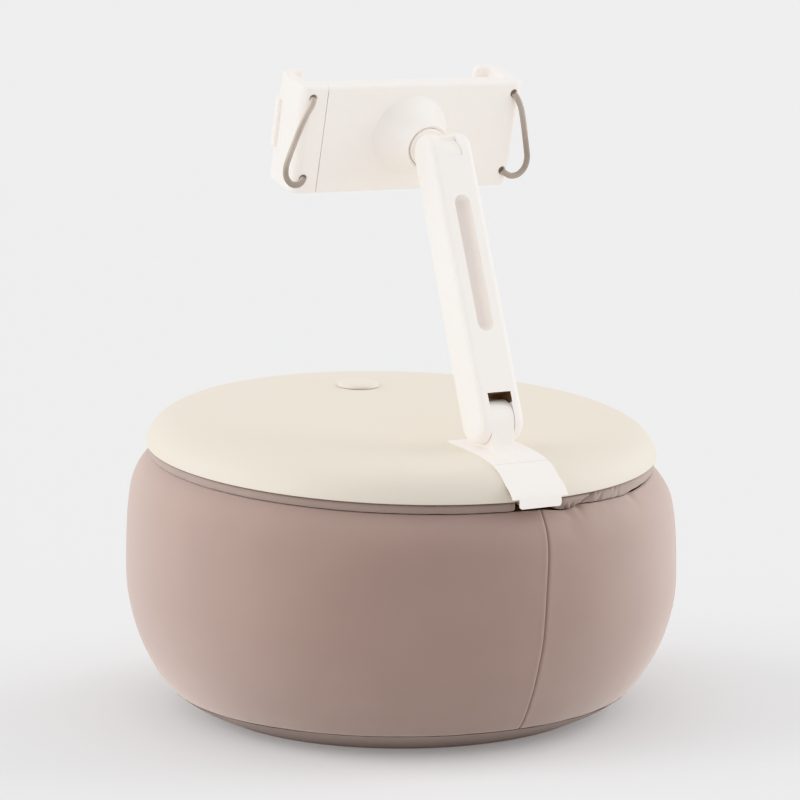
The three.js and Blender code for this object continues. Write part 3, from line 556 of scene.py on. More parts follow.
def spread(tree: Tree, value: Socket, low: object, high: object,
           start: float = 0.0, end: float = 1.0) -> Socket:
    """Adds a Map Range node.

    Args:
        tree: Where the node goes.
        value: The socket to read.
        low: What start becomes, a socket or a number.
        high: What end becomes, a socket or a number.
        start: Where the value's span starts.
        end: Where it ends.

    Returns:
        The result's socket.
    """
    node = tree.nodes.new("ShaderNodeMapRange")
    given = {"Value": value, "From Min": start, "From Max": end, "To Min": low, "To Max": high}
    for label, what in given.items():
        feed(tree, what, node.inputs[label])
    return node.outputs["Result"]


def mottle(tree: Tree, where: Socket, scale: object, detail: float) -> Socket:
    """Adds a Noise Texture node.

    Args:
        tree: Where the node goes.
        where: The coordinates.
        scale: Its scale, a socket or a number.
        detail: How many finer layers it has.

    Returns:
        The value's socket.
    """
    node = tree.nodes.new("ShaderNodeTexNoise")
    for label, given in (("Vector", where), ("Scale", scale), ("Detail", detail)):
        feed(tree, given, node.inputs[label])
    return node.outputs["Fac"]


def blend_colours(tree: Tree, share: Socket, first: Socket, second: object, way: str = "MIX") -> Socket:
    """Adds a Mix node between two colours.

    Args:
        tree: Where the node goes.
        share: How far the second colour acts.
        first: The first colour.
        second: The second colour, a socket or a plain colour.
        way: How the second colour acts on the first.

    Returns:
        The result's socket.
    """
    node = tree.nodes.new("ShaderNodeMix")
    node.data_type = "RGBA"
    node.blend_type = way
    share_input, first_input, second_input, colour_output = 0, 6, 7, 2
    for number, given in ((share_input, share), (first_input, first), (second_input, second)):
        feed(tree, given, node.inputs[number])
    return node.outputs[colour_output]


TONES = [("Dark", "NodeSocketColor"), ("Light", "NodeSocketColor"), ("Smooth", "NodeSocketFloat"),
         ("Rough", "NodeSocketFloat")]
SURFACE = [("Color", "NodeSocketColor"), ("Roughness", "NodeSocketFloat"), ("Height", "NodeSocketFloat")]


@dataclass
class Effects:
    """Shader node groups that several finishes share, each made once."""

    noise_span: Pair = (0.3, 0.7)
    noise_detail: float = 3.0
    grain_shares: Pair = (0.35, 0.65)
    cloud_scale: float = 0.012
    cloud_detail: float = 2.0
    slub_scale: float = 1.3
    fading_scale: float = 26.0
    weave_relief: Pair = (0.7, 0.6)
    weave_shares: Pair = (0.3, 0.6)
    made: dict[str, Tree] = field(default_factory=dict)

    def grain(self) -> Tree:
        """Gives the fine grain of a moulded or sanded surface.

        Returns:
            The node group.
        """
        if "grain" not in self.made:
            tree = new_group("moulded grain", [
                ("Vector", "NodeSocketVector"), ("Scale", "NodeSocketFloat"), *TONES], SURFACE)
            source, sink = tree.nodes["in"].outputs, tree.nodes["out"].inputs
            fine = mottle(tree, source["Vector"], source["Scale"], self.noise_detail)
            wide = sum_node(tree, "MULTIPLY", source["Scale"], self.cloud_scale)
            cloud = mottle(tree, source["Vector"], wide, self.cloud_detail)
            fine_share, cloud_share = self.grain_shares
            share = sum_node(tree, "ADD", spread(tree, fine, 0.0, fine_share, *self.noise_span),
                             spread(tree, cloud, 0.0, cloud_share, *self.noise_span))
            dull = spread(tree, fine, source["Smooth"], source["Rough"], *self.noise_span)
            tree.links.new(blend_colours(tree, share, source["Dark"], source["Light"]), sink["Color"])
            tree.links.new(dull, sink["Roughness"])
            tree.links.new(fine, sink["Height"])
            self.made["grain"] = tree
        return self.made["grain"]

    def weave(self) -> Tree:
        """Gives the over and under of warp and weft on a cloth's own map, which is in millimetres.

        Returns:
            The node group.
        """
        if "weave" not in self.made:
            tree = new_group("plain weave", [
                ("Vector", "NodeSocketVector"), ("Place", "NodeSocketVector"), ("Threads", "NodeSocketFloat"),
                *TONES], SURFACE)
            source, sink = tree.nodes["in"].outputs, tree.nodes["out"].inputs
            parts = tree.nodes.new("ShaderNodeSeparateXYZ")
            tree.links.new(source["Vector"], parts.inputs[0])
            turn = sum_node(tree, "MULTIPLY", source["Threads"], math.pi)
            warp, weft = (sum_node(tree, "SINE", sum_node(tree, "MULTIPLY", parts.outputs[axis], turn), 0.0)
                          for axis in ("X", "Y"))
            crossing = spread(tree, sum_node(tree, "MULTIPLY", warp, weft), 0.0, 1.0, -1.0, 1.0)
            slub = mottle(tree, source["Vector"], self.slub_scale, self.noise_detail)
            fading = mottle(tree, source["Place"], self.fading_scale, self.noise_detail)
            crossing_relief, slub_relief = self.weave_relief
            height = sum_node(tree, "ADD", sum_node(tree, "MULTIPLY", crossing, crossing_relief),
                              sum_node(tree, "MULTIPLY", slub, slub_relief))
            thread_share, fading_share = self.weave_shares
            share = sum_node(tree, "ADD", sum_node(tree, "MULTIPLY", height, thread_share),
                             spread(tree, fading, 0.0, fading_share, *self.noise_span))
            dull = spread(tree, slub, source["Smooth"], source["Rough"], *self.noise_span)
            tree.links.new(blend_colours(tree, share, source["Dark"], source["Light"]), sink["Color"])
            tree.links.new(dull, sink["Roughness"])
            tree.links.new(height, sink["Height"])
            self.made["weave"] = tree
        return self.made["weave"]


EFFECTS = Effects()


class Ground(Enum):
    """What a finish's pattern lies on."""

    SOLID = "grain"
    CLOTH = "weave"


@dataclass(frozen=True)
class Finish:
    """A surface: two close tones, a fine pattern, and how it takes light."""

    name: str
    slot: Slot
    dark: Shade
    light: Shade
    smooth: float = 0.4
    rough: float = 0.5
    ground: Ground = Ground.SOLID
    scale: float = 1400.0
    relief: float = 0.00004
    strength: float = 0.25
    metallic: float = 0.0
    specular: float = 0.5
    sheen: float = 0.0
    sheen_tint: Shade = (255, 255, 255)
    sheen_rough: float = 0.6
    glow_depth: float = 0.0
    glow_share: float = 0.25
    glow_reach: Triple = (1.0, 0.8, 0.6)
    # Painted shade: how strongly the marked places are darkened, and the tone they are darkened towards.
    painted_shade: float = 0.0
    painted_shade_tone: Shade = (126, 108, 96)

    def material(self) -> bpy.types.Material:
        """Makes the material once and gives it again after that.

        Returns:
            The material.
        """
        made = bpy.data.materials.get(self.name)
        if made:
            return made
        made = bpy.data.materials.new(self.name)
        made.use_nodes = True
        tree = made.node_tree
        shader = tree.nodes["Principled BSDF"]
        where = tree.nodes.new("ShaderNodeTexCoord")
        group = tree.nodes.new("ShaderNodeGroup")
        group.node_tree = EFFECTS.grain() if self.ground is Ground.SOLID else EFFECTS.weave()
        if self.ground is Ground.SOLID:
            tree.links.new(where.outputs["Object"], group.inputs["Vector"])
            group.inputs["Scale"].default_value = self.scale
        else:
            tree.links.new(where.outputs["UV"], group.inputs["Vector"])
            tree.links.new(where.outputs["Object"], group.inputs["Place"])
            group.inputs["Threads"].default_value = self.scale
        group.inputs["Dark"].default_value = tone(*self.dark)
        group.inputs["Light"].default_value = tone(*self.light)
        group.inputs["Smooth"].default_value = self.smooth
        group.inputs["Rough"].default_value = self.rough
        bump = tree.nodes.new("ShaderNodeBump")
        bump.inputs["Strength"].default_value = self.strength
        bump.inputs["Distance"].default_value = self.relief
        tree.links.new(group.outputs["Height"], bump.inputs["Height"])
        colour = group.outputs["Color"]
        # Painted shade, where the mesh marks it.
        if self.painted_shade:
            colour = self._add_painted_shade(tree, colour)
        tree.links.new(colour, shader.inputs["Base Color"])
        tree.links.new(group.outputs["Roughness"], shader.inputs["Roughness"])
        tree.links.new(bump.outputs["Normal"], shader.inputs["Normal"])
        shader.inputs["Metallic"].default_value = self.metallic
        shader.inputs["Specular IOR Level"].default_value = self.specular
        shader.inputs["Sheen Weight"].default_value = self.sheen
        shader.inputs["Sheen Roughness"].default_value = self.sheen_rough
        shader.inputs["Sheen Tint"].default_value = tone(*self.sheen_tint)
        if self.glow_depth:
            shader.inputs["Subsurface Weight"].default_value = self.glow_share
            shader.inputs["Subsurface Radius"].default_value = self.glow_reach
            shader.inputs["Subsurface Scale"].default_value = self.glow_depth
        return made

    def _add_painted_shade(self, tree: Tree, colour: Socket) -> Socket:
        """Paints shade into a colour where the mesh's own attribute marks a deep slot or recess.

        Args:
            tree: The material's nodes.
            colour: The colour in the open.

        Returns:
            The colour with the painted shade in it.
        """
        mark = tree.nodes.new("ShaderNodeAttribute")
        mark.attribute_name = PAINTED_SHADE
        share = sum_node(tree, "MULTIPLY", mark.outputs["Fac"], self.painted_shade)
        return blend_colours(tree, share, colour, tone(*self.painted_shade_tone), "MULTIPLY")


COVER = Finish("taupe cover cloth", Slot.COVER, (149, 126, 117), (155, 132, 123), 0.72, 0.86, Ground.CLOTH,
               scale=2.2, relief=0.00006, strength=0.25, specular=0.3, sheen=0.65, sheen_tint=(255, 246, 240))
BAND = Finish("taupe band cloth", Slot.COVER, (146, 129, 121), (156, 139, 131), 0.75, 0.88, Ground.CLOTH,
              scale=2.2, relief=0.00006, strength=0.3, specular=0.3, sheen=0.4, sheen_tint=(255, 248, 243))
# The cover's cloth painted lighter and greyer, without sheen, to lift the shade that falls on the bottom
# panel near the floor: painted light.
LIGHTENED_UNDER = Finish("taupe cover cloth painted lighter", Slot.COVER, (158, 143, 137), (168, 153, 147), 0.8, 0.9, Ground.CLOTH,
               scale=1.6, relief=0.0001, strength=0.3, specular=0.2)
LINING = Finish("bead bag cloth", Slot.BAG, (112, 98, 91), (126, 111, 103), 0.8, 0.9, Ground.CLOTH, scale=2.0,
                relief=0.00008, strength=0.3, specular=0.3, sheen=0.15)
CREAM = Finish("cream tray shell", Slot.CREAM, (211, 203, 190), (216, 208, 196), 0.5, 0.62, scale=1100.0,
               relief=0.00003, strength=0.2, specular=0.35)
CAP = Finish("cream button cap", Slot.CREAM, (218, 210, 198), (223, 215, 204), 0.5, 0.62, scale=1100.0,
             relief=0.00003, strength=0.2, specular=0.35)
# The white moulding carries painted shade where the arm marks its slot head and recess.
WHITE = Finish("warm white moulding", Slot.WHITE, (251, 244, 238), (253, 247, 242), 0.36, 0.46, scale=1600.0,
               relief=0.00002, strength=0.15, specular=0.45, glow_depth=0.002, painted_shade=1.0)
BOARD = Finish("pressed board", Slot.BOARD, (196, 176, 138), (222, 206, 172), 0.75, 0.9, scale=900.0,
               relief=0.00012, strength=0.5, specular=0.2)
RUBBER = Finish("soft grip rubber", Slot.PAD, (206, 201, 195), (216, 211, 205), 0.72, 0.85, scale=1800.0,
                relief=0.00005, strength=0.35, specular=0.3)
STEEL = Finish("plated steel", Slot.STEEL, (168, 172, 178), (190, 194, 200), 0.22, 0.38, scale=2400.0,
               relief=0.00002, strength=0.2, metallic=1.0)
CORD = Finish("woven elastic", Slot.CORD, (134, 122, 112), (212, 201, 190), 0.8, 0.92, Ground.CLOTH,
              scale=0.85, relief=0.0004, strength=0.9, specular=0.2, sheen=0.2)


def finish_piece(obj: Piece, body: Body, finish: Finish, *nodes: str) -> None:
    """Dresses a finished piece, sets it on its body, and says which solids it stands for.

    Args:
        obj: The piece, in the row frame.
        body: What it moves with.
        finish: Its surface.
        nodes: The solids that it stands for.
    """
    obj.data.materials.clear()
    obj.data.materials.append(finish.material())
    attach(obj, body.value)
    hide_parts(*nodes)
    log.info("%s stands for %s, %d faces", obj.name, ", ".join(nodes), len(obj.data.polygons))


def finish_moulding(obj: Piece, place: Matrix, body: Body, finish: Finish, node: str) -> None:
    """Seats, shades and dresses a moulded piece.

    Args:
        obj: The piece, in millimetres in the frame of what carries it.
        place: That frame.
        body: What it moves with.
        finish: Its surface.
        node: The solid that it stands for.
    """
    seat(obj, place)
    smooth_rigid(obj)
    finish_piece(obj, body, finish, node)


# Places


@dataclass(frozen=True)
class Crown:
    """The tray's outer form, which the bracket follows."""

    radius: float = 138.0
    height: float = 18.6
    power: float = 11.4
    rounding: float = 0.625

    def at(self, distance: float) -> float:
        """Gives the top's height above the rim at a distance from the middle."""
        share = min(abs(distance) / self.radius, 1.0)
        return self.height * (1 - share ** self.power) ** self.rounding

    def reach(self, share: float) -> float:
        """Gives the distance from the middle at which the top has a share of its height."""
        return self.radius * (1 - share ** (1 / self.rounding)) ** (1 / self.power)


@dataclass(frozen=True)
class Places:
    """Frames of the moving parts at rest, in millimetres."""

    crown: Crown = field(default_factory=Crown)
    rim_height: float = 141.9
    tray_lean: float = 3.77
    pivot_y: float = 93.1
    pivot_rise: float = 12.9
    strap_proud: float = 0.5
    arm_lean: float = 24.6
    arm_length: float = 140.4
    head_turn: float = 36.9
    holder_reach: float = 37.0
    holder_drop: float = 1.35

    def pivot_z(self) -> float:
        """Gives the lower hinge's height above the tray's rim."""
        return self.crown.at(self.pivot_y) + self.strap_proud + self.pivot_rise

    def tray(self) -> Matrix:
        """Gives the tray's frame, which leans to the bracket."""
        lean = Matrix.Rotation(-math.radians(self.tray_lean), 4, "X")
        return Matrix.Translation((0, 0, self.rim_height)) @ lean

    def arm(self) -> Matrix:
        """Gives the arm's frame, at its lower hinge."""
        lean = Matrix.Rotation(math.radians(self.arm_lean), 4, "X")
        return self.tray() @ Matrix.Translation((0, self.pivot_y, self.pivot_z())) @ lean

    def swivel(self) -> Matrix:
        """Gives the swivel's frame, on the holder's back face.

        Returns:
            The frame.
        """
        turn = Matrix.Rotation(-math.radians(self.head_turn), 4, "X")
        tip = self.arm() @ Matrix.Translation((0, 0, self.arm_length)) @ turn
        return tip @ Matrix.Translation((0, -self.holder_reach, 0))

    def holder(self) -> Matrix:
        """Gives the holder's frame, a little below the swivel's."""
        return self.swivel() @ Matrix.Translation((0, 0, -self.holder_drop))


PLACES = Places()


# Camera, floor and light


@dataclass
class Studio:
    """The camera at the photograph's angle, a pale floor and soft light from both sides and above."""

    azimuth: float = 150.422
    elevation: float = 9.115
    distance: float = 1.6
    target: Triple = (0.0, 0.0, 0.15)
    lens: float = 132.98
    sensor: float = 36.0
    sight: float = 200.0
    shift: Pair = (-0.0015, 0.0364)
    floor_radius: float = 60.0
    floor_sides: int = 64
    floor_tone: Shade = (201, 201, 201)
    floor_glow: float = 0.17
    floor_rough: float = 0.85
    floor_specular: float = 0.15
    sky_tone: Shade = (254, 254, 255)
    sky_light: float = 0.69
    side_light: float = 0.2
    top_light: float = 0.4
    softboxes: tuple[Triple, ...] = ((-89.0, 13.0, 3.1), (112.0, 13.0, 2.8))
    softbox_width: float = 60.0

    def _back(self) -> Vector:
        """Gives the direction from the target to the camera."""
        turn, rise = math.radians(self.azimuth), math.radians(self.elevation)
        return Vector((math.sin(turn) * math.cos(rise), -math.cos(turn) * math.cos(rise), math.sin(rise)))

    def camera(self) -> None:
        """Adds the camera."""
        eye = bpy.data.cameras.new("camera")
        eye.lens = self.lens
        eye.sensor_width = self.sensor
        eye.shift_x, eye.shift_y = self.shift
        eye.clip_end = self.sight
        obj = bpy.data.objects.new("camera", eye)
        bpy.context.scene.collection.objects.link(obj)
        obj.location = Vector(self.target) + self._back() * self.distance
        obj.rotation_euler = self._back().to_track_quat("Z", "Y").to_euler()
        bpy.context.scene.camera = obj

    def floor(self) -> None:
        """Adds the floor."""
        bpy.ops.object.select_all(action="DESELECT")
        bpy.ops.mesh.primitive_circle_add(vertices=self.floor_sides, radius=self.floor_radius,
                                          fill_type="NGON")
        obj = bpy.context.active_object
        obj.name = "floor"
        paint = bpy.data.materials.new("pale floor")
        paint.use_nodes = True
        shader = paint.node_tree.nodes["Principled BSDF"]
        shader.inputs["Base Color"].default_value = tone(*self.floor_tone)
        shader.inputs["Emission Color"].default_value = (1.0, 1.0, 1.0, 1.0)
        shader.inputs["Emission Strength"].default_value = self.floor_glow
        shader.inputs["Roughness"].default_value = self.floor_rough
        shader.inputs["Specular IOR Level"].default_value = self.floor_specular
        obj.data.materials.append(paint)

    def lights(self) -> None:
        """Adds pale surroundings and a wide softbox on each side, a little behind the object."""
        turn = math.radians(self.azimuth)
        right = Vector((math.cos(turn), math.sin(turn), 0))
        towards = Vector((math.sin(turn), -math.cos(turn), 0))
        world = bpy.data.worlds.new("pale room")
        world.use_nodes = True
        tree = world.node_tree
        sky = tree.nodes["Background"]
        sky.inputs["Color"].default_value = tone(*self.sky_tone)
        where = tree.nodes.new("ShaderNodeTexCoord")
        total: object = self.sky_light
        for axis, power in ((right, self.side_light), (Vector((0, 0, 1)), self.top_light)):
            dot = tree.nodes.new("ShaderNodeVectorMath")
            dot.operation = "DOT_PRODUCT"
            dot.inputs[1].default_value = axis
            tree.links.new(where.outputs["Generated"], dot.inputs[0])
            square = sum_node(tree, "MULTIPLY", dot.outputs["Value"], dot.outputs["Value"])
            total = sum_node(tree, "ADD", sum_node(tree, "MULTIPLY", square, power), total)
        tree.links.new(total, sky.inputs["Strength"])
        bpy.context.scene.world = world
        for side, rise, power in self.softboxes:
            lamp = bpy.data.lights.new("softbox", "SUN")
            lamp.energy = power
            lamp.angle = math.radians(self.softbox_width)
            obj = bpy.data.objects.new("softbox", lamp)
            bpy.context.scene.collection.objects.link(obj)
            away, up = math.radians(side), math.radians(rise)
            flat = towards * math.cos(away) + right * math.sin(away)
            back = flat * math.cos(up) + Vector((0, 0, math.sin(up)))
            obj.rotation_euler = back.to_track_quat("Z", "Y").to_euler()
        bpy.context.scene.view_settings.view_transform = "Khronos PBR Neutral"


# Elastic loops


@dataclass
class ElasticLoops:
    """Two woven cords, each from an upper hole in the holder's back to the lower one."""

    diameter: float = 3.4
    sides: int = 14
    steps: int = 8
    route: tuple[Triple, ...] = (
        (61.0, 0.3, 21.9), (61.9, 1.6, 20.3), (63.3, 2.4, 17.8), (65.5, 2.6, 13.6), (68.2, 2.6, 6.0),
        (70.6, 2.7, -2.0), (72.6, 2.9, -9.0), (73.7, 3.2, -14.2), (72.9, 3.3, -19.4), (69.7, 3.2, -23.2),
        (65.6, 2.7, -24.2), (62.6, 1.6, -23.2), (61.0, 0.3, -21.9))

    def _loop(self, name: str, side: int, body: Body) -> None:
        """Builds one loop.

        Args:
            name: The solid that it stands for.
            side: 1 for the sliding jaw's side, -1 for the other.
            body: What it moves with.
        """
        line = curve_through([Vector((side * x, y, z)) for x, y, z in self.route], self.steps)
        along = [0.0]
        for a, b in zip(line, line[1:]):
            along.append(along[-1] + (b - a).length)
        radius = self.diameter / 2
        across = Vector((0, 1, 0))

        def place(column: int, row: int) -> Vector:
            """Gives a corner on the cord's skin.

            Args:
                column: Place around the cord.
                row: Place along it.

            Returns:
                The corner.
            """
            ahead = (line[min(row + 1, len(line) - 1)] - line[max(row - 1, 0)]).normalized()
            first = (across - ahead * across.dot(ahead)).normalized()
            second = ahead.cross(first)
            angle = 2 * math.pi * column / self.sides
            return line[row] + radius * (first * math.cos(angle) + second * math.sin(angle))

        def unwrap(column: int, row: int) -> Pair:
            """Runs the braid aslant along the cord."""
            around = math.pi * self.diameter * column / self.sides
            return (along[row] + around, along[row] - around)

        obj = tube(name.replace("elastic_loop", "woven_loop"), self.sides, len(line) - 1, place, unwrap)
        close_ends(obj)
        seat(obj, PLACES.swivel())
        smooth(obj, 60)
        finish_piece(obj, body, CORD, name)
        path = [MILLIMETRE * (PLACES.swivel() @ point) for point in line]
        tuple(path[0])
        [tuple(p) for p in path]

    def build(self) -> None:
        """Builds both loops."""
        self._loop("left_elastic_loop", 1, Body.JAW)
        self._loop("right_elastic_loop", -1, Body.HOLDER)


# Cushion


@dataclass(frozen=True)
class Filling:
    """How the cloth and the filling behind it act while a panel swells."""

    quality: int = 6
    mass: float = 0.02
    stretch: float = 25.0
    shear: float = 10.0
    bend: float = 1.0
    pressure: float = 4.0
    frames: int = 20


@dataclass(frozen=True)
class Puckers:
    """Small folds along a seam, as waves of a height, a width in degrees and a place in the noise."""

    reach: float
    waves: tuple[Triple, ...]

    def at(self, turn: float, away: float) -> float:
        """Gives how far the folds stand out at an angle and a distance from the seam."""
        folds = sum(height * ripple(turn / width, start) for height, width, start in self.waves)
        return math.exp(-away / self.reach) * folds


@dataclass
class Cushion:
    """The bead cushion: side panel with its seams, bottom panel, bead bag, and the band under the tray."""

    knots: tuple[Pair, ...] = ((103.5, 0.0), (125.7, 12.2), (140.2, 33.0), (148.0, 56.0), (150.0, 79.0),
                               (147.0, 117.6), (135.8, 133.6))
    belly: float = 150.0
    seam_line: tuple[Pair, ...] = ((12.0, 0.9), (31.0, 1.3), (50.0, 1.3), (74.0, 0.7), (100.0, 0.0),
                                   (120.0, -0.9), (136.0, -1.9))
    columns_by_seam: tuple[float, ...] = (0.08, 0.2, 0.4, 0.75, 1.3, 2.1, 3.2, 4.6)
    column_steps: Pair = (0.5, 2.3)
    gathered_to: float = 42.0
    rows_per_span: int = 6
    top: float = 133.6
    filling: Filling = Filling()
    swell: float = 0.6
    cloth: float = 1.6
    hem: tuple[Pair, ...] = ((-2.6, 0.7), (-0.8, 0.12))
    hem_rise: float = 0.1
    tuck: tuple[Pair, ...] = ((-1.0, 0.1), (-2.6, -0.4))
    seam_radius: float = 148.0
    seam_pull: float = 14.0
    seam_depth: float = 0.8
    seam_width: float = 0.36
    seam_lip: Triple = (0.2, 1.9, 1.2)
    lower_puckers: Puckers = Puckers(7.0, ((0.55, 5.5, 3.1), (0.35, 2.1, 8.4)))
    upper_puckers: Puckers = Puckers(6.0, ((0.35, 4.0, 21.7),))
    gather_depth: float = 0.35
    gather_reach: float = 8.0
    gather_turn: Pair = (-16.0, 10.0)
    dimples: tuple[tuple[float, float, float, float], ...] = ((-11.8, 0.9, 5.0, 2.8), (-31.5, 1.4, 4.0, 2.6))
    dimple_lip: Pair = (0.35, 2.6)
    sway: Triple = (0.35, 40.0, 60.0)
    drawn_from: float = 112.0
    lifts: tuple[Pair, ...] = ((-180.0, 2.6), (-110.0, 2.2), (-60.0, 0.6), (-31.0, 0.3), (-20.0, 1.5),
                               (-13.0, 2.2), (-8.0, 0.8), (-2.0, 2.4), (5.0, 2.9), (180.0, 2.6))
    base_sides: int = 180
    base_rings: tuple[float, ...] = (0.0, 40.0, 80.0)
    base_hem: tuple[Pair, ...] = ((-0.02, -0.08), (-0.8, -0.03), (-3.0, -0.05), (-5.0, -0.8))
    base_inside: tuple[Pair, ...] = ((112.0, 4.5), (102.0, 1.9), (60.0, 1.8), (0.0, 1.8))
    bag_sides: int = 96
    bag_room: float = 1.6
    bag_radius: float = 140.0
    bag_base: tuple[Pair, ...] = ((0.0, 2.4), (60.0, 2.4), (102.0, 2.5), (117.0, 8.0))
    bag_top: tuple[Pair, ...] = ((131.0, 131.0), (130.0, 135.5), (127.0, 139.0), (90.0, 140.4), (0.0, 140.5))
    band_sides: int = 36
    band_radius: float = 134.2
    band_half: float = 2.65
    band_limits: Pair = (4.0, 2.75)
    band_girth: float = 24.0
    band_square: float = 0.62
    band_ends: tuple[float, ...] = (0.0, 0.4, 0.9, 1.6, 2.6, 4.2)
    band_gathered: float = 50.0
    opening: Pair = (10.8, 12.5)
    opening_radius: float = 137.0
    fold: Triple = (13.1, 10.8, 4.4)
    fold_edge: Pair = (-0.4, 0.5)
    flap: float = 1.8
    crumple: Pair = (3.8, 17.0)
    wave: float = 1.2

    def _angles(self) -> list[float]:
        """Gives the side panel's columns in degrees from +Y towards +X, close together at the seam.

        Returns:
            The columns' angles in order.
        """
        fine, coarse = self.column_steps
        near = list(self.columns_by_seam)
        gathered = even(6, self.gathered_to, fine) + even(self.gathered_to, 180, coarse)
        return sorted([-a for a in near + gathered] + [0.0] + near + even(6, 180, coarse) + [180.0])

    def _rise(self, angle: float) -> float:
        """Gives how far the side panel's top is drawn up under the band at an angle."""
        return read_off(self.lifts, angle, fade)

    def _profile(self, start: int, end: int, steps: int) -> list[Pair]:
        """Gives the cover's curve of radius and height from one knot to another."""
        curve = curve_through([Vector((r, z, 0)) for r, z in self.knots], steps)
        return [(p.x, p.y) for p in curve[start * steps:end * steps + 1]]

    def _settled(self, radius: float, angle: float, height: float) -> Vector:
        """Gives a point of the cover, which follows the tray's lean towards its top.

        Args:
            radius: Distance from the middle.
            angle: Degrees from +Y towards +X.
            height: Height above the floor before the lean.

        Returns:
            The point.
        """
        turn = math.radians(angle)
        x, y = radius * math.sin(turn), radius * math.cos(turn)
        slope = math.tan(math.radians(PLACES.tray_lean)) * fade(height, 0, self.top)
        return Vector((x, y, height - y * slope))

    def _seam_angle(self, height: float) -> float:
        """Gives the vertical seam's angle at a height."""
        return read_off(self.seam_line, height, ramp)

    def _swollen(self, obj: Piece, room: list[float], pinned: list[bool]) -> None:
        """Swells the panel with Blender's cloth, held at its seams.

        Args:
            obj: The panel, in metres.
            room: How far each corner may move, in metres.
            pinned: Which corners a seam holds.
        """
        before = [v.co.copy() for v in obj.data.vertices]
        group = obj.vertex_groups.new(name="seams")
        group.add([i for i, held in enumerate(pinned) if held], 1.0, "REPLACE")
        pick(obj)
        step = obj.modifiers.new("filling", "CLOTH")
        cloth = step.settings
        cloth.quality = self.filling.quality
        cloth.mass = self.filling.mass
        cloth.tension_stiffness = self.filling.stretch
        cloth.compression_stiffness = self.filling.stretch
        cloth.shear_stiffness = self.filling.shear
        cloth.bending_stiffness = self.filling.bend
        cloth.use_pressure = True
        cloth.uniform_pressure_force = self.filling.pressure
        cloth.vertex_group_mass = group.name
        cloth.effector_weights.gravity = 0.0
        step.collision_settings.use_collision = False
        scene = bpy.context.scene
        for moment in range(1, self.filling.frames + 1):
            scene.frame_set(moment)
        bpy.ops.object.modifier_apply(modifier=step.name)
        scene.frame_set(1)
        for vertex, start, limit in zip(obj.data.vertices, before, room):
            move = vertex.co - start
            vertex.co = start + move * min(1.0, limit / max(move.length, 1e-9))
        obj.vertex_groups.clear()

    def side_panel(self) -> None:
        """Builds the side panel: a tube of cloth, swollen by the filling, with its seam and puckers."""
        angles = self._angles()
        curve = self._profile(1, len(self.knots) - 1, 2 * self.rows_per_span)
        last = len(curve) - 1
        kept = [i for i in range(last + 1) if i % 2 == 0 or i > last - 2 * self.rows_per_span]
        outer = [curve[i] for i in kept]
        bulge = [math.sin(math.pi * i / last) ** 0.5 for i in kept]
        foot, head = outer[0], outer[-1]
        outer[0] = (foot[0], foot[1] + self.hem_rise)
        rows = [*[(foot[0] + out, foot[1] + up, 0.0) for out, up in self.hem],
                *[(radius, height, give) for (radius, height), give in zip(outer, bulge)],
                *[(head[0] + out, head[1] + up, 0.0) for out, up in self.tuck]]
        lengths = [0.0]
        for a, b in zip(rows, rows[1:]):
            lengths.append(lengths[-1] + math.hypot(b[0] - a[0], b[1] - a[1]))
        swell = self.swell

        def turn(column: int, row: int) -> float:
            """Gives a column's angle in a row, drawn towards the seam's own line."""
            base = angles[column % len(angles)]
            return base + self._seam_angle(rows[row][1]) * math.exp(-(base / self.seam_pull) ** 2)

        def place(column: int, row: int) -> Vector:
            """Gives a corner before the filling swells the panel.

            Args:
                column: Place around the cushion.
                row: Place up the cloth.

            Returns:
                The corner.
            """
            radius, height, give = rows[row]
            angle = turn(column, row)
            height += self._rise(angle) * fade(height, self.drawn_from, self.top)
            return self._settled(radius - swell * give, angle, height)

        def unwrap(column: int, row: int) -> Pair:
            """Lays the cloth out flat."""
            around = angles[column % len(angles)] + (360 if column >= len(angles) else 0)
            return (math.radians(around) * self.belly, lengths[row])

        obj = tube("cushion_side_panel", len(angles), len(rows) - 1, place, unwrap)
        seat(obj, Matrix.Identity(4))
        cells = {}
        for column in range(len(angles)):
            for row in range(len(rows)):
                spot = MILLIMETRE * place(column, row)
                cells[tuple(round(c, 6) for c in spot)] = (column, row)
        where = [cells[tuple(round(c, 6) for c in v.co)] for v in obj.data.vertices]
        if swell:
            room = [2 * MILLIMETRE * swell * rows[row][2] for _, row in where]
            pinned = [rows[row][2] == 0.0 or angles[column] == 0.0 for column, row in where]
            self._swollen(obj, room, pinned)
        for vertex, (column, row) in zip(obj.data.vertices, where):
            flat = Vector((vertex.co.x, vertex.co.y, 0)).normalized()
            out = self._crease(angles[column], turn(column, row), rows[row][1], lengths[row], lengths[-1])
            vertex.co += MILLIMETRE * out * flat
        self._thicken(obj)
        finish_piece(obj, Body.BASE, COVER, "cover_side_panel")

    def _crease(self, base: float, turn: float, height: float, low: float, whole: float) -> float:
        """Gives how far the cloth stands out at a place, in millimetres.

        Args:
            base: Degrees from the vertical seam.
            turn: Degrees from +Y.
            height: Height above the floor before the lean.
            low: Length of cloth below the place.
            whole: Length of cloth from seam to seam.

        Returns:
            The move outwards, negative inwards.
        """
        across = math.radians(abs(base)) * self.seam_radius
        lip, aside, breadth = self.seam_lip
        groove = self.seam_depth * math.exp(-(across / self.seam_width) ** 2)
        seam = lip * math.exp(-((across - aside) / breadth) ** 2) - groove
        high = whole - low
        puckers = self.lower_puckers.at(turn, low) + self.upper_puckers.at(turn, high)
        middle, breadth = self.gather_turn
        gather = self.gather_depth * math.exp(-high / self.gather_reach - ((turn - middle) / breadth) ** 2)
        gather *= ripple(turn / 1.9, 5.2, low / 9)
        lip, breadth = self.dimple_lip
        for middle, width, deep, reach in self.dimples:
            aside = (turn - middle) / width
            dent = deep * math.exp(-aside ** 2)
            gather += math.exp(-high / reach) * (lip * math.exp(-(aside / breadth) ** 2) - dent)
        slow, wide, tall = self.sway
        return seam + puckers + gather + slow * ripple(turn / wide, height / tall, 1.7)

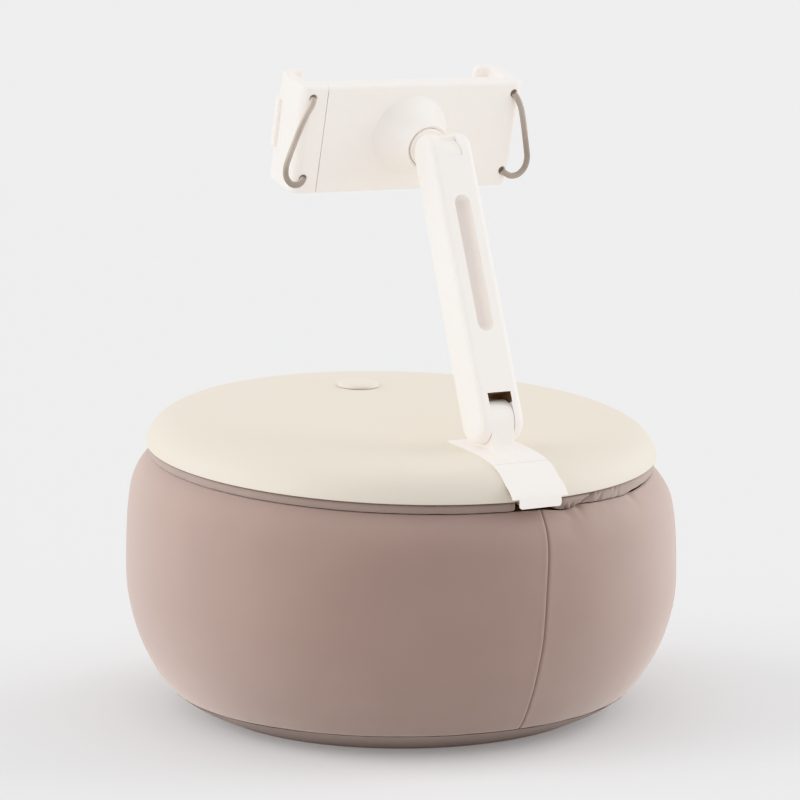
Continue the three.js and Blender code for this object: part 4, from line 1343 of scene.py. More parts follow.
    def _thicken(self, obj: Piece) -> None:
        """Gives a panel its cloth's thickness, inwards, and a finer surface.

        Args:
            obj: The panel, in metres.
        """
        pick(obj)
        bpy.ops.object.mode_set(mode="EDIT")
        bpy.ops.mesh.select_all(action="SELECT")
        bpy.ops.mesh.normals_make_consistent(inside=False)
        bpy.ops.object.mode_set(mode="OBJECT")
        if sum((f.center.x * f.normal.x + f.center.y * f.normal.y) * f.area for f in obj.data.polygons) < 0:
            bpy.ops.object.mode_set(mode="EDIT")
            bpy.ops.mesh.flip_normals()
            bpy.ops.object.mode_set(mode="OBJECT")
        step = obj.modifiers.new("thickness", "SOLIDIFY")
        step.thickness = MILLIMETRE * self.cloth
        step.offset = -1.0
        bpy.ops.object.modifier_apply(modifier=step.name)
        refine(obj)
        smooth(obj, 70)

    def bottom_panel(self) -> None:
        """Builds the bottom panel: flat where it rests, and turned up to the bottom seam."""
        outer = self._profile(0, 1, 8)
        seam = outer[-1]
        hem = [(seam[0] + out, seam[1] + up) for out, up in self.base_hem]
        skin = [*[(radius, 0.0) for radius in self.base_rings], *outer[:-1], *hem[:-1]]
        rows = [*skin, hem[-1], *self.base_inside]
        count = self.base_sides

        def place(column: int, row: int) -> Vector:
            """Gives a corner of the panel, puckered along its seam.

            Args:
                column: Place around the cushion.
                row: Place from the middle outwards and back inside.

            Returns:
                The corner.
            """
            radius, height = rows[row]
            angle = 360 * column / count
            loose = fade(height, 4, seam[1]) if len(self.base_rings) <= row < len(skin) else 0.0
            return self._settled(radius + loose * (0.5 * ripple(angle / 4.5, 3.3) - 0.25), angle, height)

        def unwrap(column: int, row: int) -> Pair:
            """Lays the cloth out flat."""
            reach, turn = sum(rows[row]), 2 * math.pi * column / count
            return (reach * math.sin(turn), reach * math.cos(turn))

        obj = tube("cushion_bottom_panel", count, len(rows) - 1, place, unwrap)
        close_ends(obj)
        seat(obj, Matrix.Identity(4))
        smooth(obj, 60)
        # The bottom panel wears the cover's cloth with painted light, against the shade near the floor.
        finish_piece(obj, Body.BASE, LIGHTENED_UNDER, "cover_bottom_panel")

    def bead_bag(self) -> None:
        """Builds the bag of beads that fills the cover, with its own soft flank."""
        curve = self._profile(1, len(self.knots) - 1, 3)
        flank = [(radius - self.cloth - self.bag_room, height) for radius, height in curve[1:-1]]
        rows = [*self.bag_base, *flank, *self.bag_top]
        count = self.bag_sides

        def place(column: int, row: int) -> Vector:
            """Gives a corner of the bag, a little uneven where beads press on it.

            Args:
                column: Place around the bag.
                row: Place from the middle below to the middle above.

            Returns:
                The corner.
            """
            radius, height = rows[row]
            angle = 360 * column / count
            beads = 0.5 * ripple(angle / 3, height / 7) if rows[row] in flank else 0.0
            return self._settled(radius + beads - 0.4, angle, height) if radius else Vector((0, 0, height))

        def unwrap(column: int, row: int) -> Pair:
            """Lays the cloth out flat."""
            return (2 * math.pi * self.bag_radius * column / count, sum(rows[row]))

        obj = tube("bead_filling_bag", count, len(rows) - 1, place, unwrap)
        close_ends(obj)
        seat(obj, Matrix.Identity(4))
        smooth(obj, 60)
        finish_piece(obj, Body.BASE, LINING, "bead_bag")

    def _fold(self, right: float, tall: float) -> float:
        """Gives how far the band's cloth is drawn in near its gathered end, where it is folded over itself.

        Args:
            right: Distance from that end.
            tall: Share of the band's height.

        Returns:
            The move outwards, negative inwards.
        """
        start, lean, deep = self.fold
        past = right - start - lean * tall
        under = fade(past, *self.fold_edge)
        tucked = -deep * under * math.exp(-max(past, 0.0) / 3.2)
        flap = self.flap * (1 - under) * fade(right, 0, 5) * (0.3 + 0.7 * tall)
        deep, reach = self.crumple
        lower = (1 - fade(tall, 0.15, 0.65)) * math.exp(-(right / reach) ** 4)
        crumpled = -deep * lower * abs(ripple(right / 2.6 + 2 * tall, 1.4 * tall, 4.4))
        beside = fade(right, 14, 22) * (1 - fade(right, 40, 75))
        waves = self.wave * beside * ripple(right / 3.4 - 1.2 * tall, tall, 7.7)
        return tucked + flap + crumpled + waves

    def top_band(self) -> None:
        """Builds the band under the tray: a flat casing of cloth, folded over at one end."""
        radius, sides = self.band_radius, self.band_sides
        opening, closing = (math.degrees(math.asin(half / self.opening_radius)) for half in self.opening)
        whole = math.radians(360 - opening - closing) * radius
        ends, gathered = self.band_ends, whole - self.band_gathered
        stations = [*ends, *even(6.5, gathered, 3.0), *even(gathered, whole - ends[-1], 0.55),
                    *[whole - end for end in reversed(ends)]]

        def place(column: int, row: int) -> Vector:
            """Gives a corner of the casing.

            Args:
                column: Place around the casing.
                row: Place along the band.

            Returns:
                The corner.
            """
            left, right = stations[row], whole - stations[row]
            turn = opening + math.degrees(left / radius)
            signed = turn - (360 if turn > 180 else 0)
            angle = 2 * math.pi * column / sides
            out, up = math.cos(angle), math.sin(angle)
            out = math.copysign(abs(out) ** self.band_square, out)
            up = math.copysign(abs(up) ** self.band_square, up)
            slack = 0.25 + 1.0 * fade(signed, -28, -33) * (1 - fade(signed, -42, -62))
            foot, head = self.top - PLACES.rim_height + self._rise(signed) + slack, -0.35
            middle, height = (foot + head) / 2, (head - foot) / 2 + 0.1 * ripple(left / 9, 4.0)
            low = middle + up * height * (1 - 0.12 * math.exp(-left) - 0.2 * math.exp(-right / 2))
            reach = self.band_half * (1 - 0.5 * math.exp(-left / 1.1) - 0.35 * math.exp(-right / 1.5))
            puff = self._fold(right, (low - foot) / (head - foot)) + 0.22 * ripple(left / 14, low / 6, 3.0)
            limit = self.band_limits[0] if right < 30 else self.band_limits[1]
            spot = radius + min(out * reach + puff * max(out, 0.0), limit)
            x, y = spot * math.sin(math.radians(turn)), spot * math.cos(math.radians(turn))
            return Vector((x, y, min(low, head)))

        def unwrap(column: int, row: int) -> Pair:
            """Lays the cloth out flat."""
            return (stations[row], self.band_girth * column / sides)

        obj = tube("cushion_top_band", sides, len(stations) - 1, place, unwrap)
        close_ends(obj)
        seat(obj, PLACES.tray())
        smooth(obj, 50)
        finish_piece(obj, Body.BASE, BAND, "cover_top_band")

    def build(self) -> None:
        """Builds the cushion's pieces."""
        self.side_panel()
        self.bottom_panel()
        self.bead_bag()
        self.top_band()


# Tray and bracket


@dataclass
class Bracket:
    """The strap that is sunk in the tray, its knuckle, and the hook over the rim."""

    width: float = 32.0
    thickness: float = 4.0
    inner_y: float = 76.0
    groove_y: float = 121.7
    groove_width: float = 0.65
    reach: float = 4.5
    tab_width: float = 24.2
    tab_drop: float = 2.6
    shoulder: float = 2.4
    knee: Pair = (0.2, 4.8)
    toe: Pair = (1.2, 1.4)
    lip: float = 11.3
    gap: float = 0.3
    knuckle_width: float = 13.2
    washer: Pair = (7.2, 5.95)
    knuckle_radius: float = 10.8
    fillet: float = 5.0
    bolt_radius: float = 2.8
    side_gap: float = 0.15
    face: float = 1.2
    face_room: float = 1.35
    core_start: float = 0.8
    core_inset: float = 3.0
    core_room: float = 2.8
    outside: Triple = (150.0, -5.0, 24.0)

    def _top(self, y: float) -> float:
        """Gives the strap's top at a distance from the tray's middle."""
        return PLACES.crown.at(y) + PLACES.strap_proud

    def _stations(self, count: int) -> list[float]:
        """Gives places along the strap."""
        end = self.groove_y - self.groove_width / 2
        return [self.inner_y + (end - self.inner_y) * i / count for i in range(count + 1)]

    def _hook_top(self) -> list[Pair]:
        """Gives the hook's outer curve from the groove to the tab's foot.

        Returns:
            Its points in Y and Z.
        """
        rim, start = PLACES.crown.radius, self.groove_y + self.groove_width / 2
        slope = [start + share * (rim - start) for share in (0.0, 0.35, 0.7)]
        knots = [Vector((y, self._top(y), 0)) for y in slope]
        knots += [Vector((rim - self.knee[0], self.shoulder + self.knee[1], 0)),
                  Vector((rim + self.reach - self.toe[0], self.shoulder + self.toe[1], 0)),
                  Vector((rim + self.reach, 0, 0))]
        return [(p.x, p.y) for p in curve_through(knots, 6)]

    def channel(self) -> list[Piece]:
        """Makes the room that the strap, the hook's face and the hook's core take in the tray.

        Returns:
            The rooms, as tools.
        """
        start, edge = self.inner_y - self.gap, self.groove_y + self.groove_width / 2
        far, below, above = self.outside
        floor = [(y, self._top(y) - self.thickness - self.gap) for y in [*self._stations(20), edge]]
        room = [(start, floor[0][1]), *floor, (edge, above), (start, above)]
        tools = [prism_x("strap room", room, self.width / 2 + self.side_gap)]
        lap = edge - 0.2
        for depth, inset in ((self.face_room, -self.side_gap), (self.thickness + self.gap, self.core_room)):
            line = self._hook_line(depth)
            room = [(lap, line[0][1]), *line[1:-1], (line[-1][0], below), (far, below), (far, above)]
            tools.append(prism_x("hook room", [*room, (lap, above)], self.width / 2 - inset))
        return tools

    def hinge_block(self) -> None:
        """Builds the strap's inner part with its knuckle."""
        stations = self._stations(24)
        under = [(y, self._top(y) - self.thickness) for y in stations]
        over = [(y, self._top(y)) for y in reversed(stations)]
        obj = prism_x("hinge_block_moulding", under + over, self.width / 2)
        y, z = PLACES.pivot_y, PLACES.pivot_z()
        base, foot = self._top(y), self.knuckle_radius + self.fillet
        slope = y + foot + 7.0
        knuckle = prism_x("knuckle", [
            (y - foot, base - 2), (slope, self._top(slope) - 2), (slope, self._top(slope) - 0.05),
            *arc(y + foot, base + self.fillet, self.fillet, 270, 180, 10),
            *arc(y, z, self.knuckle_radius, 0, 180, 36),
            *arc(y - foot, base + self.fillet, self.fillet, 0, -90, 10)], self.knuckle_width / 2)
        round_edges(knuckle, lambda a, b: abs(a.x - b.x) < 1e-4 and min(a.z, b.z) > base + 4.0, 0.8, 3)
        bore = rod("bore", self.bolt_radius, Vector((-20, y, z)), Vector((20, y, z)))
        seat_radius, seat_x = self.washer
        seats = [rod("washer seat", seat_radius, Vector((side * seat_x, y, z)), Vector((side * 20, y, z)))
                 for side in (-1, 1)]
        merge(obj, Merge.JOIN, knuckle)
        merge(obj, Merge.CUT, bore, *seats)
        soften(obj, 0.35, 2, 45)
        finish_moulding(obj, PLACES.tray(), Body.BASE, WHITE, "hinge_block")

    def _hook_line(self, depth: float) -> list[Pair]:
        """Gives the hook's curve at a depth below its outer face, on down to the tab's foot.

        Args:
            depth: The depth.

        Returns:
            Its points in Y and Z.
        """
        outer_y = PLACES.crown.radius + self.reach
        top = self._hook_top()
        line: list[Pair] = []
        for i, (y, z) in enumerate(top[:-1]):
            (y0, z0), (y1, z1) = top[max(i - 1, 0)], top[i + 1]
            length = math.hypot(y1 - y0, z1 - z0)
            y = max(y + depth * (z1 - z0) / length, top[0][0])
            z -= depth * (y1 - y0) / length
            if not line or (y > line[-1][0] + 0.05 and line[-1][1] > z > 0.1 and y < outer_y - depth):
                line.append((y, z))
        return [*line, (outer_y - depth, 0.0), (outer_y - depth, -self.tab_drop)]

    def _hook_layer(self, name: str, depths: Pair, inset: float, corner: float) -> Piece:
        """Makes one layer of the hook and trims it to its shoulders and tab.

        Args:
            name: Name of the layer.
            depths: Where the layer starts and ends below the outer face.
            inset: How far its sides stand back from the hook's.
            corner: Radius of the tab's lower corners.

        Returns:
            The layer.
        """
        half, tab = self.width / 2 - inset, self.tab_width / 2 - inset
        obj = prism_x(name, [*self._hook_line(depths[0]), *reversed(self._hook_line(depths[1]))], half)
        foot, turn = -self.tab_drop, 0.6
        front = [(half + 1, self.shoulder), (half + 1, 30.0), (-half - 1, 30.0), (-half - 1, self.shoulder),
                 *arc(-tab - turn, self.shoulder - turn, turn, 90, 0, 5),
                 *arc(-tab + corner, foot + corner, corner, 180, 270, 8),
                 *arc(tab - corner, foot + corner, corner, 270, 360, 8),
                 *arc(tab + turn, self.shoulder - turn, turn, 180, 90, 5)]
        return merge(obj, Merge.KEEP, prism_y("front", front, 100.0, 160.0))

    def rim_hook(self) -> None:
        """Builds the hook over the rim: a thin face with shoulders and a tab, and a narrower core."""
        obj = self._hook_layer("rim_hook_moulding", (0.0, self.face), 0.0, 1.4)
        core = self._hook_layer("core", (self.core_start, self.thickness), self.core_inset, 1.0)
        inner = PLACES.crown.radius + self.reach - self.lip
        lip = block("lip", (-8.0, inner, -self.tab_drop), (8.0, inner + self.lip - 2.0, -self.gap))
        merge(obj, Merge.JOIN, core, lip)
        soften(obj, 0.3, 3, 40)
        finish_moulding(obj, PLACES.tray(), Body.BASE, WHITE, "rim_hook")

    def build(self) -> None:
        """Builds the bracket's pieces."""
        self.hinge_block()
        self.rim_hook()


@dataclass
class Tray:
    """The cream tray with its round edge and its low button."""

    bracket: Bracket
    wall: float = 6.0
    steps: int = 192
    button_radius: float = 11.5
    button_rise: float = 2.5
    button_edge: float = 1.5
    button_dome: float = 0.25
    button_place: Pair = (-9.0, -66.5)
    gap: float = 0.3

    def shell(self) -> None:
        """Builds the tray's shell and cuts the strap's room into it."""
        crown = PLACES.crown
        steep = [0.03 + 0.85 * i / 26 for i in range(27)]
        outer = [(crown.radius - 0.5, 0.0), (crown.radius, 0.35)]
        outer += [(crown.reach(h), crown.height * h) for h in steep]
        edge = outer[-1][0]
        outer += [(edge * (1 - i / 14), crown.at(edge * (1 - i / 14))) for i in range(1, 11)]
        outer.append((0.0, crown.height))
        inside = crown.radius - self.wall
        inner = [(0.0, crown.height - self.wall), (inside * 0.8, crown.height - self.wall - 0.4),
                 (inside * 0.93, crown.height - self.wall - 3), (inside * 0.985, 5.0), (inside, 0.0)]
        obj = spun("tray_shell", outer + inner, self.steps)
        merge(obj, Merge.CUT, *self.bracket.channel())
        seat(obj, PLACES.tray())
        smooth(obj, 30)
        finish_piece(obj, Body.BASE, CREAM, "tray_top")

    def button(self) -> None:
        """Builds the low button, a domed cap with a round edge."""
        radius, edge = self.button_radius, self.button_edge
        low = PLACES.crown.height + self.gap / 2
        high = PLACES.crown.height + self.gap + self.button_rise
        rim = [(radius - 0.25, low), (radius, low + 0.3), *arc(radius - edge, low + 0.55, edge, 0, 72, 8)]
        top = [(radius * share, high - self.button_dome * share * share) for share in (0.78, 0.55, 0.3, 0.0)]
        obj = spun("tray_button_cap", [(0.0, low), *rim, *top], 72)
        seat(obj, PLACES.tray() @ Matrix.Translation((*self.button_place, 0)))
        smooth(obj, 40)
        finish_piece(obj, Body.BASE, CAP, "tray_button")

    def build(self) -> None:
        """Builds the tray's pieces."""
        self.shell()
        self.button()


# Arm


@dataclass
class Arm:
    """The forked arm with its scooped recess, and the caps over its bolts."""

    width: float = 26.0
    lower_radius: float = 11.3
    upper_radius: float = 10.0
    tip_lift: float = 3.0
    edge: float = 4.0
    lower_slot: Pair = (6.9, 12.6)
    upper_slot_half: float = 5.5
    lug_room: float = 9.8
    rear_sill: float = 1.2
    front_sill: float = 7.0
    recess: Pair = (45.0, 118.0)
    recess_radius: float = 4.8
    recess_y: float = 10.3
    # Painted shade at the recess's bottom; slot_head also bounds the slot's head, which is painted dark.
    recess_shade: float = 0.2
    slot_head: float = 5.5
    bolt: float = 2.8
    head: Pair = (4.8, -8.6)
    nut: Pair = (4.9, 4.3)
    cap: Triple = (4.5, -12.7, -11.6)

    def body(self) -> None:
        """Builds the arm and cuts its slots, its recess and the bolts' places."""
        run = PLACES.arm_length + self.tip_lift
        flare = math.degrees(math.asin((self.lower_radius - self.upper_radius) / run))
        points = arc(0, run, self.upper_radius, flare, 180 - flare, 32)
        points += arc(0, 0, self.lower_radius, 180 - flare, 360 + flare, 32)
        half, far = self.width / 2, 18.0
        obj = prism_x("arm_moulding", points, half)
        round_edges(obj, lambda a, b: abs(a.x - b.x) < 1e-4, self.edge, 7)
        low_half, low_top = self.lower_slot
        up, top = self.upper_slot_half, PLACES.arm_length
        merge(obj, Merge.CUT,
              block("lower slot", (-low_half, -far, -far), (low_half, far, low_top - self.slot_head)),
              block("slot head", (-low_half, -far, low_top - 8.0), (low_half, far, low_top)),
              block("upper slot", (-up, -far, top - self.rear_sill), (up, far, top + far)),
              block("front of slot", (-up, -far, top - self.front_sill), (up, 0.0, top + 1)),
              rod("lug room", self.lug_room, Vector((-up, 0, top)), Vector((up, 0, top))),
              self._recess())
        for z in (0.0, top):
            slot = low_half if z == 0.0 else up
            merge(obj, Merge.CUT,
                  rod("bolt", self.bolt, Vector((-far, 0, z)), Vector((slot + 4.0, 0, z))),
                  rod("head", self.head[0], Vector((-far, 0, z)), Vector((self.head[1], 0, z))),
                  rod("nut", self.nut[0], Vector((0, 0, z)), Vector((slot + self.nut[1], 0, z)), 6))
        soften(obj, 0.45, 3, 40)
        self._mark_painted_shade(obj)
        finish_moulding(obj, PLACES.arm(), Body.ARM, WHITE, "arm_body")

    def _mark_painted_shade(self, obj: Piece) -> None:
        """Marks where the finish paints shade: the head of the lower slot, and the recess more with its
        depth.

        Args:
            obj: The arm, in millimetres in its own frame.
        """
        low_half, low_top = self.lower_slot
        low, high = self.recess
        mark = obj.data.attributes.new(PAINTED_SHADE, "FLOAT", "CORNER")
        for face in obj.data.polygons:
            x, y, z = face.center
            inside = abs(x) < low_half + 0.1 and low_top - self.slot_head < z < low_top + 0.4
            scooped = low < z < high and math.hypot(x, y - self.recess_y) < self.recess_radius + 0.5
            for loop in face.loop_indices:
                corner = obj.data.vertices[obj.data.loops[loop].vertex_index].co
                # Painted shade: full in the lower slot's head, growing with depth in the recess.
                shade = self.recess_shade * ramp(self.recess_y - corner.y, 0.0, self.recess_radius) ** 2
                dark = 1.0 if inside and face.normal.z < 0.1 else 0.0
                mark.data[loop].value = max(dark, shade if scooped else 0.0)

    def _recess(self) -> Piece:
        """Makes the scooped recess.

        Returns:
            A long round tool.
        """
        low, high = self.recess
        radius = self.recess_radius
        half = (high - low) / 2 - radius
        short = radius / 4
        points = [(0.0, -half - radius), *arc(0, -half, radius, -80, 0, 10), (radius, short - half),
                  (radius, half - short), *arc(0, half, radius, 0, 80, 10), (0.0, half + radius)]
        obj = spun("recess", points, 40)
        lean = math.atan2(self.lower_radius - self.upper_radius, PLACES.arm_length)
        place = Matrix.Translation((0, self.recess_y, (low + high) / 2))
        return settle(obj, place @ Matrix.Rotation(lean, 4, "X"))

    def caps(self) -> None:
        """Builds the domed cap over one bolt's head, and copies it to the other hinge."""
        radius, outside, inside = self.cap
        depth = inside - outside
        points = [(0.0, 0.0), (radius, 0.0), (radius, depth * 0.55), (radius - 0.25, depth * 0.8),
                  (radius - 0.7, depth * 0.93), (radius * 0.5, depth), (0.0, depth)]
        first = spun("lower_cap_disc", points, 48)
        settle(first, Matrix.Translation((inside, 0, 0)) @ Matrix.Rotation(-math.pi / 2, 4, "Y"))
        second = own_copy(first, "upper_cap_disc")
        high = PLACES.arm_length
        for obj, node, height in ((first, "lower_hinge_cap", 0.0), (second, "upper_hinge_cap", high)):
            seat(obj, PLACES.arm() @ Matrix.Translation((0, 0, height)))
            smooth(obj, 40)
            finish_piece(obj, Body.ARM, WHITE, node)

    def build(self) -> None:
        """Builds the arm's pieces."""
        self.body()
        self.caps()


# Tilt head and holder


@dataclass
class TiltHead:
    """The lug in the arm's upper fork, its neck, and the round disc that the holder swivels on."""

    lug_width: float = 10.6
    lug_radius: float = 9.0
    neck_half: float = 6.0
    neck_flare: float = 1.0
    disc_radius: float = 10.45
    disc: Pair = (15.8, 20.7)
    spigot: Pair = (6.0, 1.2)
    bolt: float = 2.8
    thread: float = 1.9
    lug_proud: float = 0.6
    crest: Triple = (12.0, 61.0, 104.0)
    crest_fades: Pair = (5.0, 20.0)
    washer: Pair = (7.2, 4.6)

    def _lug_outline(self) -> list[Pair]:
        """Gives the lug's outline: round about its bolt, with a crest that fills the top of the fork.

        Returns:
            Its corners in Y and Z.
        """
        points = []
        radius, start, end = self.crest
        before, after = self.crest_fades
        plain = self.lug_radius + self.lug_proud
        for angle in range(-180, 180, 2):
            full = fade(angle, start - before, start) * (1 - fade(angle, end, end + after))
            reach = plain + (radius - plain) * full
            turn = math.radians(angle + PLACES.head_turn)
            points.append((PLACES.holder_reach + reach * math.cos(turn), reach * math.sin(turn)))
        return points

    def build(self) -> None:
        """Builds the head."""
        reach, half = PLACES.holder_reach, self.lug_width / 2
        low, high = self.disc
        obj = rod("tilt_head_moulding", self.disc_radius, Vector((0, low, 0)), Vector((0, high, 0)), 96)
        round_edges(obj, lambda a, b: a.y > high - 0.01 and b.y > high - 0.01, 0.9, 4)
        neck, foot = self.neck_half, self.neck_half + self.neck_flare
        edge = [(high - 2.5, foot), (high, foot), (high + 3, neck + 0.3), (reach - self.lug_radius, neck),
                (reach, neck)]
        sleeve = prism_x("neck", [(y, -z) for y, z in edge] + edge[::-1], half)
        lug = prism_x("lug", self._lug_outline(), half)
        spigot = rod("spigot", self.spigot[0], Vector((0, self.spigot[1], 0)), Vector((0, high - 2, 0)))
        merge(obj, Merge.JOIN, sleeve, lug, spigot)
        seat_radius, seat_x = self.washer
        seats = [rod("washer seat", seat_radius, Vector((end * seat_x, reach, 0)),
                     Vector((end * 9, reach, 0))) for end in (-1, 1)]
        merge(obj, Merge.CUT, rod("bore", self.bolt, Vector((-9, reach, 0)), Vector((9, reach, 0))),
              rod("thread", self.thread, Vector((0, -5, 0)), Vector((0, 10, 0))), *seats)
        soften(obj, 0.4, 2, 45)
        finish_moulding(obj, PLACES.swivel(), Body.HEAD, WHITE, "tilt_head")


@dataclass
class Holder:
    """The tablet holder: back shell with its cone and fixed jaw, sliding jaw, front plate and rubber pads."""

    half_width: float = 67.0
    half_height: float = 29.35
    plate: float = 11.0
    depth: float = 32.5
    parting: float = 52.5
    parting_gap: float = 0.4
    jaw_wall: float = 6.5
    lip: Pair = (8.0, 4.5)
    back_corner: float = 6.0
    front_corner: float = 10.0
    inner_corner: float = 3.0
    edge: float = 1.8
    grip: tuple[float, float, float, float] = (2.0, 13.2, 62.0, 2.5)
    shell_wall: float = 2.4
    end_wall: float = 3.5
    front_plate: float = 2.2
    boss: Triple = (22.0, 12.6, 20.0)
    boss_curve: float = 1.7
    boss_foot: Triple = (0.6, -1.2, -0.01)
    pocket: Pair = (10.6, 15.5)
    pocket_rim: float = 1.2
    pocket_lip: float = 0.45
    spigot_room: float = 6.3
    washer_room: Pair = (9.3, 1.2)
    lip_corner: float = 4.5
    tongue: Triple = (95.0, 16.0, 3.5)
    tongue_back: float = -4.5
    hole: Triple = (2.0, 61.0, 21.9)
    screw_inset: float = 3.9
    screw_seat: Pair = (2.6, 1.9)
    screw_hole: float = 1.5
    pad_half: Triple = (38.0, 15.0, 22.0)
    pad_corner: float = 5.0
    pad: float = 1.5
    gap: float = 0.3

    def _jaw_outline(self, inner_edge: float, side: int) -> list[Pair]:
        """Gives a jaw's outline in X and Y.

        Args:
            inner_edge: Where the jaw's part of the plate ends.
            side: 1 for the sliding jaw, -1 for the fixed one.

        Returns:
            The outline's corners.
        """
        jaw_inner = self.half_width - self.jaw_wall
        length, thickness = self.lip
        tip, lip_back, half = jaw_inner - length, thickness - self.depth, thickness / 2
        back, front, inner = self.back_corner, self.front_corner, self.inner_corner
        points = [(inner_edge, 0.0),
                  *arc(self.half_width - back, -back, back, 90, 0, 10),
                  *arc(self.half_width - front, front - self.depth, front, 0, -90, 14),
                  *arc(tip + half, lip_back - half, half, -90, -270, 12),
                  *arc(jaw_inner - inner, lip_back + inner, inner, -90, 0, 6),
                  (jaw_inner, -self.plate), (inner_edge, -self.plate)]
        return [(side * x, y) for x, y in points]

    def _jaw(self, name: str, inner_edge: float, side: int) -> Piece:
        """Makes a jaw with its part of the plate, rounded above and below, with its raised grip.

        Args:
            name: Name of the piece.
            inner_edge: Where the jaw's part of the plate ends.
            side: 1 for the sliding jaw, -1 for the fixed one.

        Returns:
            The jaw.
        """
        obj = prism_z(name, self._jaw_outline(inner_edge, side), self.half_height)
        limit = self.half_height - 1e-3

        def outer(a: Vector, b: Vector) -> bool:
            """Picks the edges above and below, apart from those at the parting line."""
            flat = abs(a.z) > limit and abs(b.z) > limit and a.z * b.z > 0
            return flat and not (abs(a.x - side * inner_edge) < 1e-3 and abs(b.x - side * inner_edge) < 1e-3)

        round_edges(obj, outer, self.edge, 5)
        raised, half, sweep, rise = self.grip
        a, b = side * (self.half_width - self.front_corner), self.front_corner - self.depth
        skin = arc(0, b, self.front_corner + raised, 0, -sweep, 16)
        root = arc(0, b, self.front_corner / 2, -sweep, 0, 8)
        grip = prism_z("grip", [(a + side * x, y) for x, y in skin + root], half)
        settle(grip, Matrix.Translation((0, 0, rise)))
        soften(grip, 0.7, 4, 35)
        return merge(merge(obj, Merge.JOIN, grip), Merge.CUT, *self._lip_corners(side))

    def _lip_corners(self, side: int) -> list[Piece]:
        """Makes the tools that round the upper and lower corners of a jaw's lip.

        Args:
            side: 1 for the sliding jaw, -1 for the fixed one.

        Returns:
            The tools.
        """
        tip = self.half_width - self.jaw_wall - self.lip[0]
        radius, top = self.lip_corner, self.half_height
        corner = [(tip - 2, top + 2), (tip - 2, top - radius),
                  *arc(tip + radius, top - radius, radius, 180, 90, 10), (tip + radius, top + 2)]
        tools = []
        for end in (1, -1):
            points = [(side * x, end * z) for x, z in corner]
            tools.append(prism_y("lip corner", points, -self.depth - 2, self.lip[1] - self.depth + 0.8))
        return tools

    def _on_back(self, obj: Piece, x: float = 0.0, z: float = 0.0) -> Piece:
        """Turns a spun form's axis out of the holder's back, at a place beside the swivel."""
        place = Matrix.Translation((x, 0, PLACES.holder_drop + z))
        return settle(obj, place @ Matrix.Rotation(-math.pi / 2, 4, "X"))

    def _cord_holes(self, side: int) -> list[Piece]:
        """Makes the tools for a side's two cord holes, each with a flared rim.

        Args:
            side: 1 for the sliding jaw, -1 for the fixed one.

        Returns:
            The tools.
        """
        radius, x, half_span = self.hole
        points = [(0.0, -8.0), (radius, -8.0), (radius, -0.8), (radius + 0.08, -0.45), (radius + 0.25, -0.12),
                  (radius + 0.5, 0.05), (radius + 0.5, 3.0), (0.0, 3.0)]
        return [self._on_back(spun("cord hole", points, 40), side * x, z) for z in (half_span, -half_span)]

    def _cone(self) -> Piece:
        """Makes the smooth cone that carries the swivel.

        Returns:
            The cone.
        """
        base, top, height = self.boss
        out, low, high = self.boss_foot
        shares = [i / 24 for i in range(24)]
        waist = [(top + (base - top) * (1 - share) ** self.boss_curve, share * height) for share in shares]
        rim = [(top, height - 0.6), (top - 0.1, height - 0.2), (top - 0.25, height), (0.0, height)]
        points = [(0.0, low), (base + out, low), (base + out, high), *waist, *rim]
        return self._on_back(spun("cone", points, 96))

    def _pocket_rim(self) -> Piece:
        """Makes the tool that opens the cone's pocket towards its rim.

        Returns:
            The tool.
        """
        _, top, height = self.boss
        low, above = height - self.pocket_rim, height + 3
        inner, mouth = self.pocket[0] + 0.02, top - self.pocket_lip
        points = [(0.0, low), (inner, low), (mouth, height + 0.05), (mouth, above), (0.0, above)]
        return self._on_back(spun("pocket rim", points, 96))

    def _inside(self) -> Triple:
        """Gives the shell's room: its end, its mouth and its half height."""
        end = -(self.half_width - self.jaw_wall - self.end_wall)
        return end, self.parting - self.parting_gap / 2 - self.end_wall, self.half_height - self.end_wall

    def back_shell(self) -> None:
        """Builds the back shell with its cone, its fixed jaw and its room for the sliding tongue."""
        obj = self._jaw("holder_back_moulding", -(self.parting - self.parting_gap / 2), -1)
        end, mouth, half = self._inside()
        _, tongue_half, thick = self.tongue
        wide, deep = self.washer_room
        axis = PLACES.holder_drop
        merge(obj, Merge.JOIN, self._cone())
        merge(obj, Merge.CUT,
              block("room", (end, -20.0, -half), (mouth, -self.shell_wall, half)),
              block("tongue slot", (0.0, self.tongue_back - thick - 0.3, -tongue_half - 0.3),
                    (60.0, self.tongue_back + 0.3, tongue_half + 0.3)),
              rod("pocket", self.pocket[0], Vector((0, self.pocket[1], axis)), Vector((0, 30, axis)), 96),
              self._pocket_rim(),
              rod("spigot", self.spigot_room, Vector((0, -10, axis)), Vector((0, 18, axis))),
              rod("washer", wide, Vector((0, -10, axis)), Vector((0, deep, axis))),
              *self._cord_holes(-1))
        soften(obj, 0.25, 2, 50)
        finish_moulding(obj, PLACES.holder(), Body.HOLDER, WHITE, "holder_back_shell")

    def sliding_jaw(self) -> None:
        """Builds the sliding jaw with the tongue that runs in the shell."""
        obj = self._jaw("sliding_jaw_moulding", self.parting + self.parting_gap / 2, 1)
        length, half, thick = self.tongue
        tongue = block("tongue", (self.parting - length, self.tongue_back - thick, -half),
                       (self.parting + 6.5, self.tongue_back, half))
        round_edges(tongue, lambda a, b: max(a.x, b.x) < 0 and abs(a.y - b.y) > 1, 3.0, 5)
        merge(obj, Merge.JOIN, tongue)
        merge(obj, Merge.CUT, *self._cord_holes(1))
        soften(obj, 0.25, 2, 50)
        finish_moulding(obj, PLACES.holder(), Body.JAW, WHITE, "sliding_jaw")

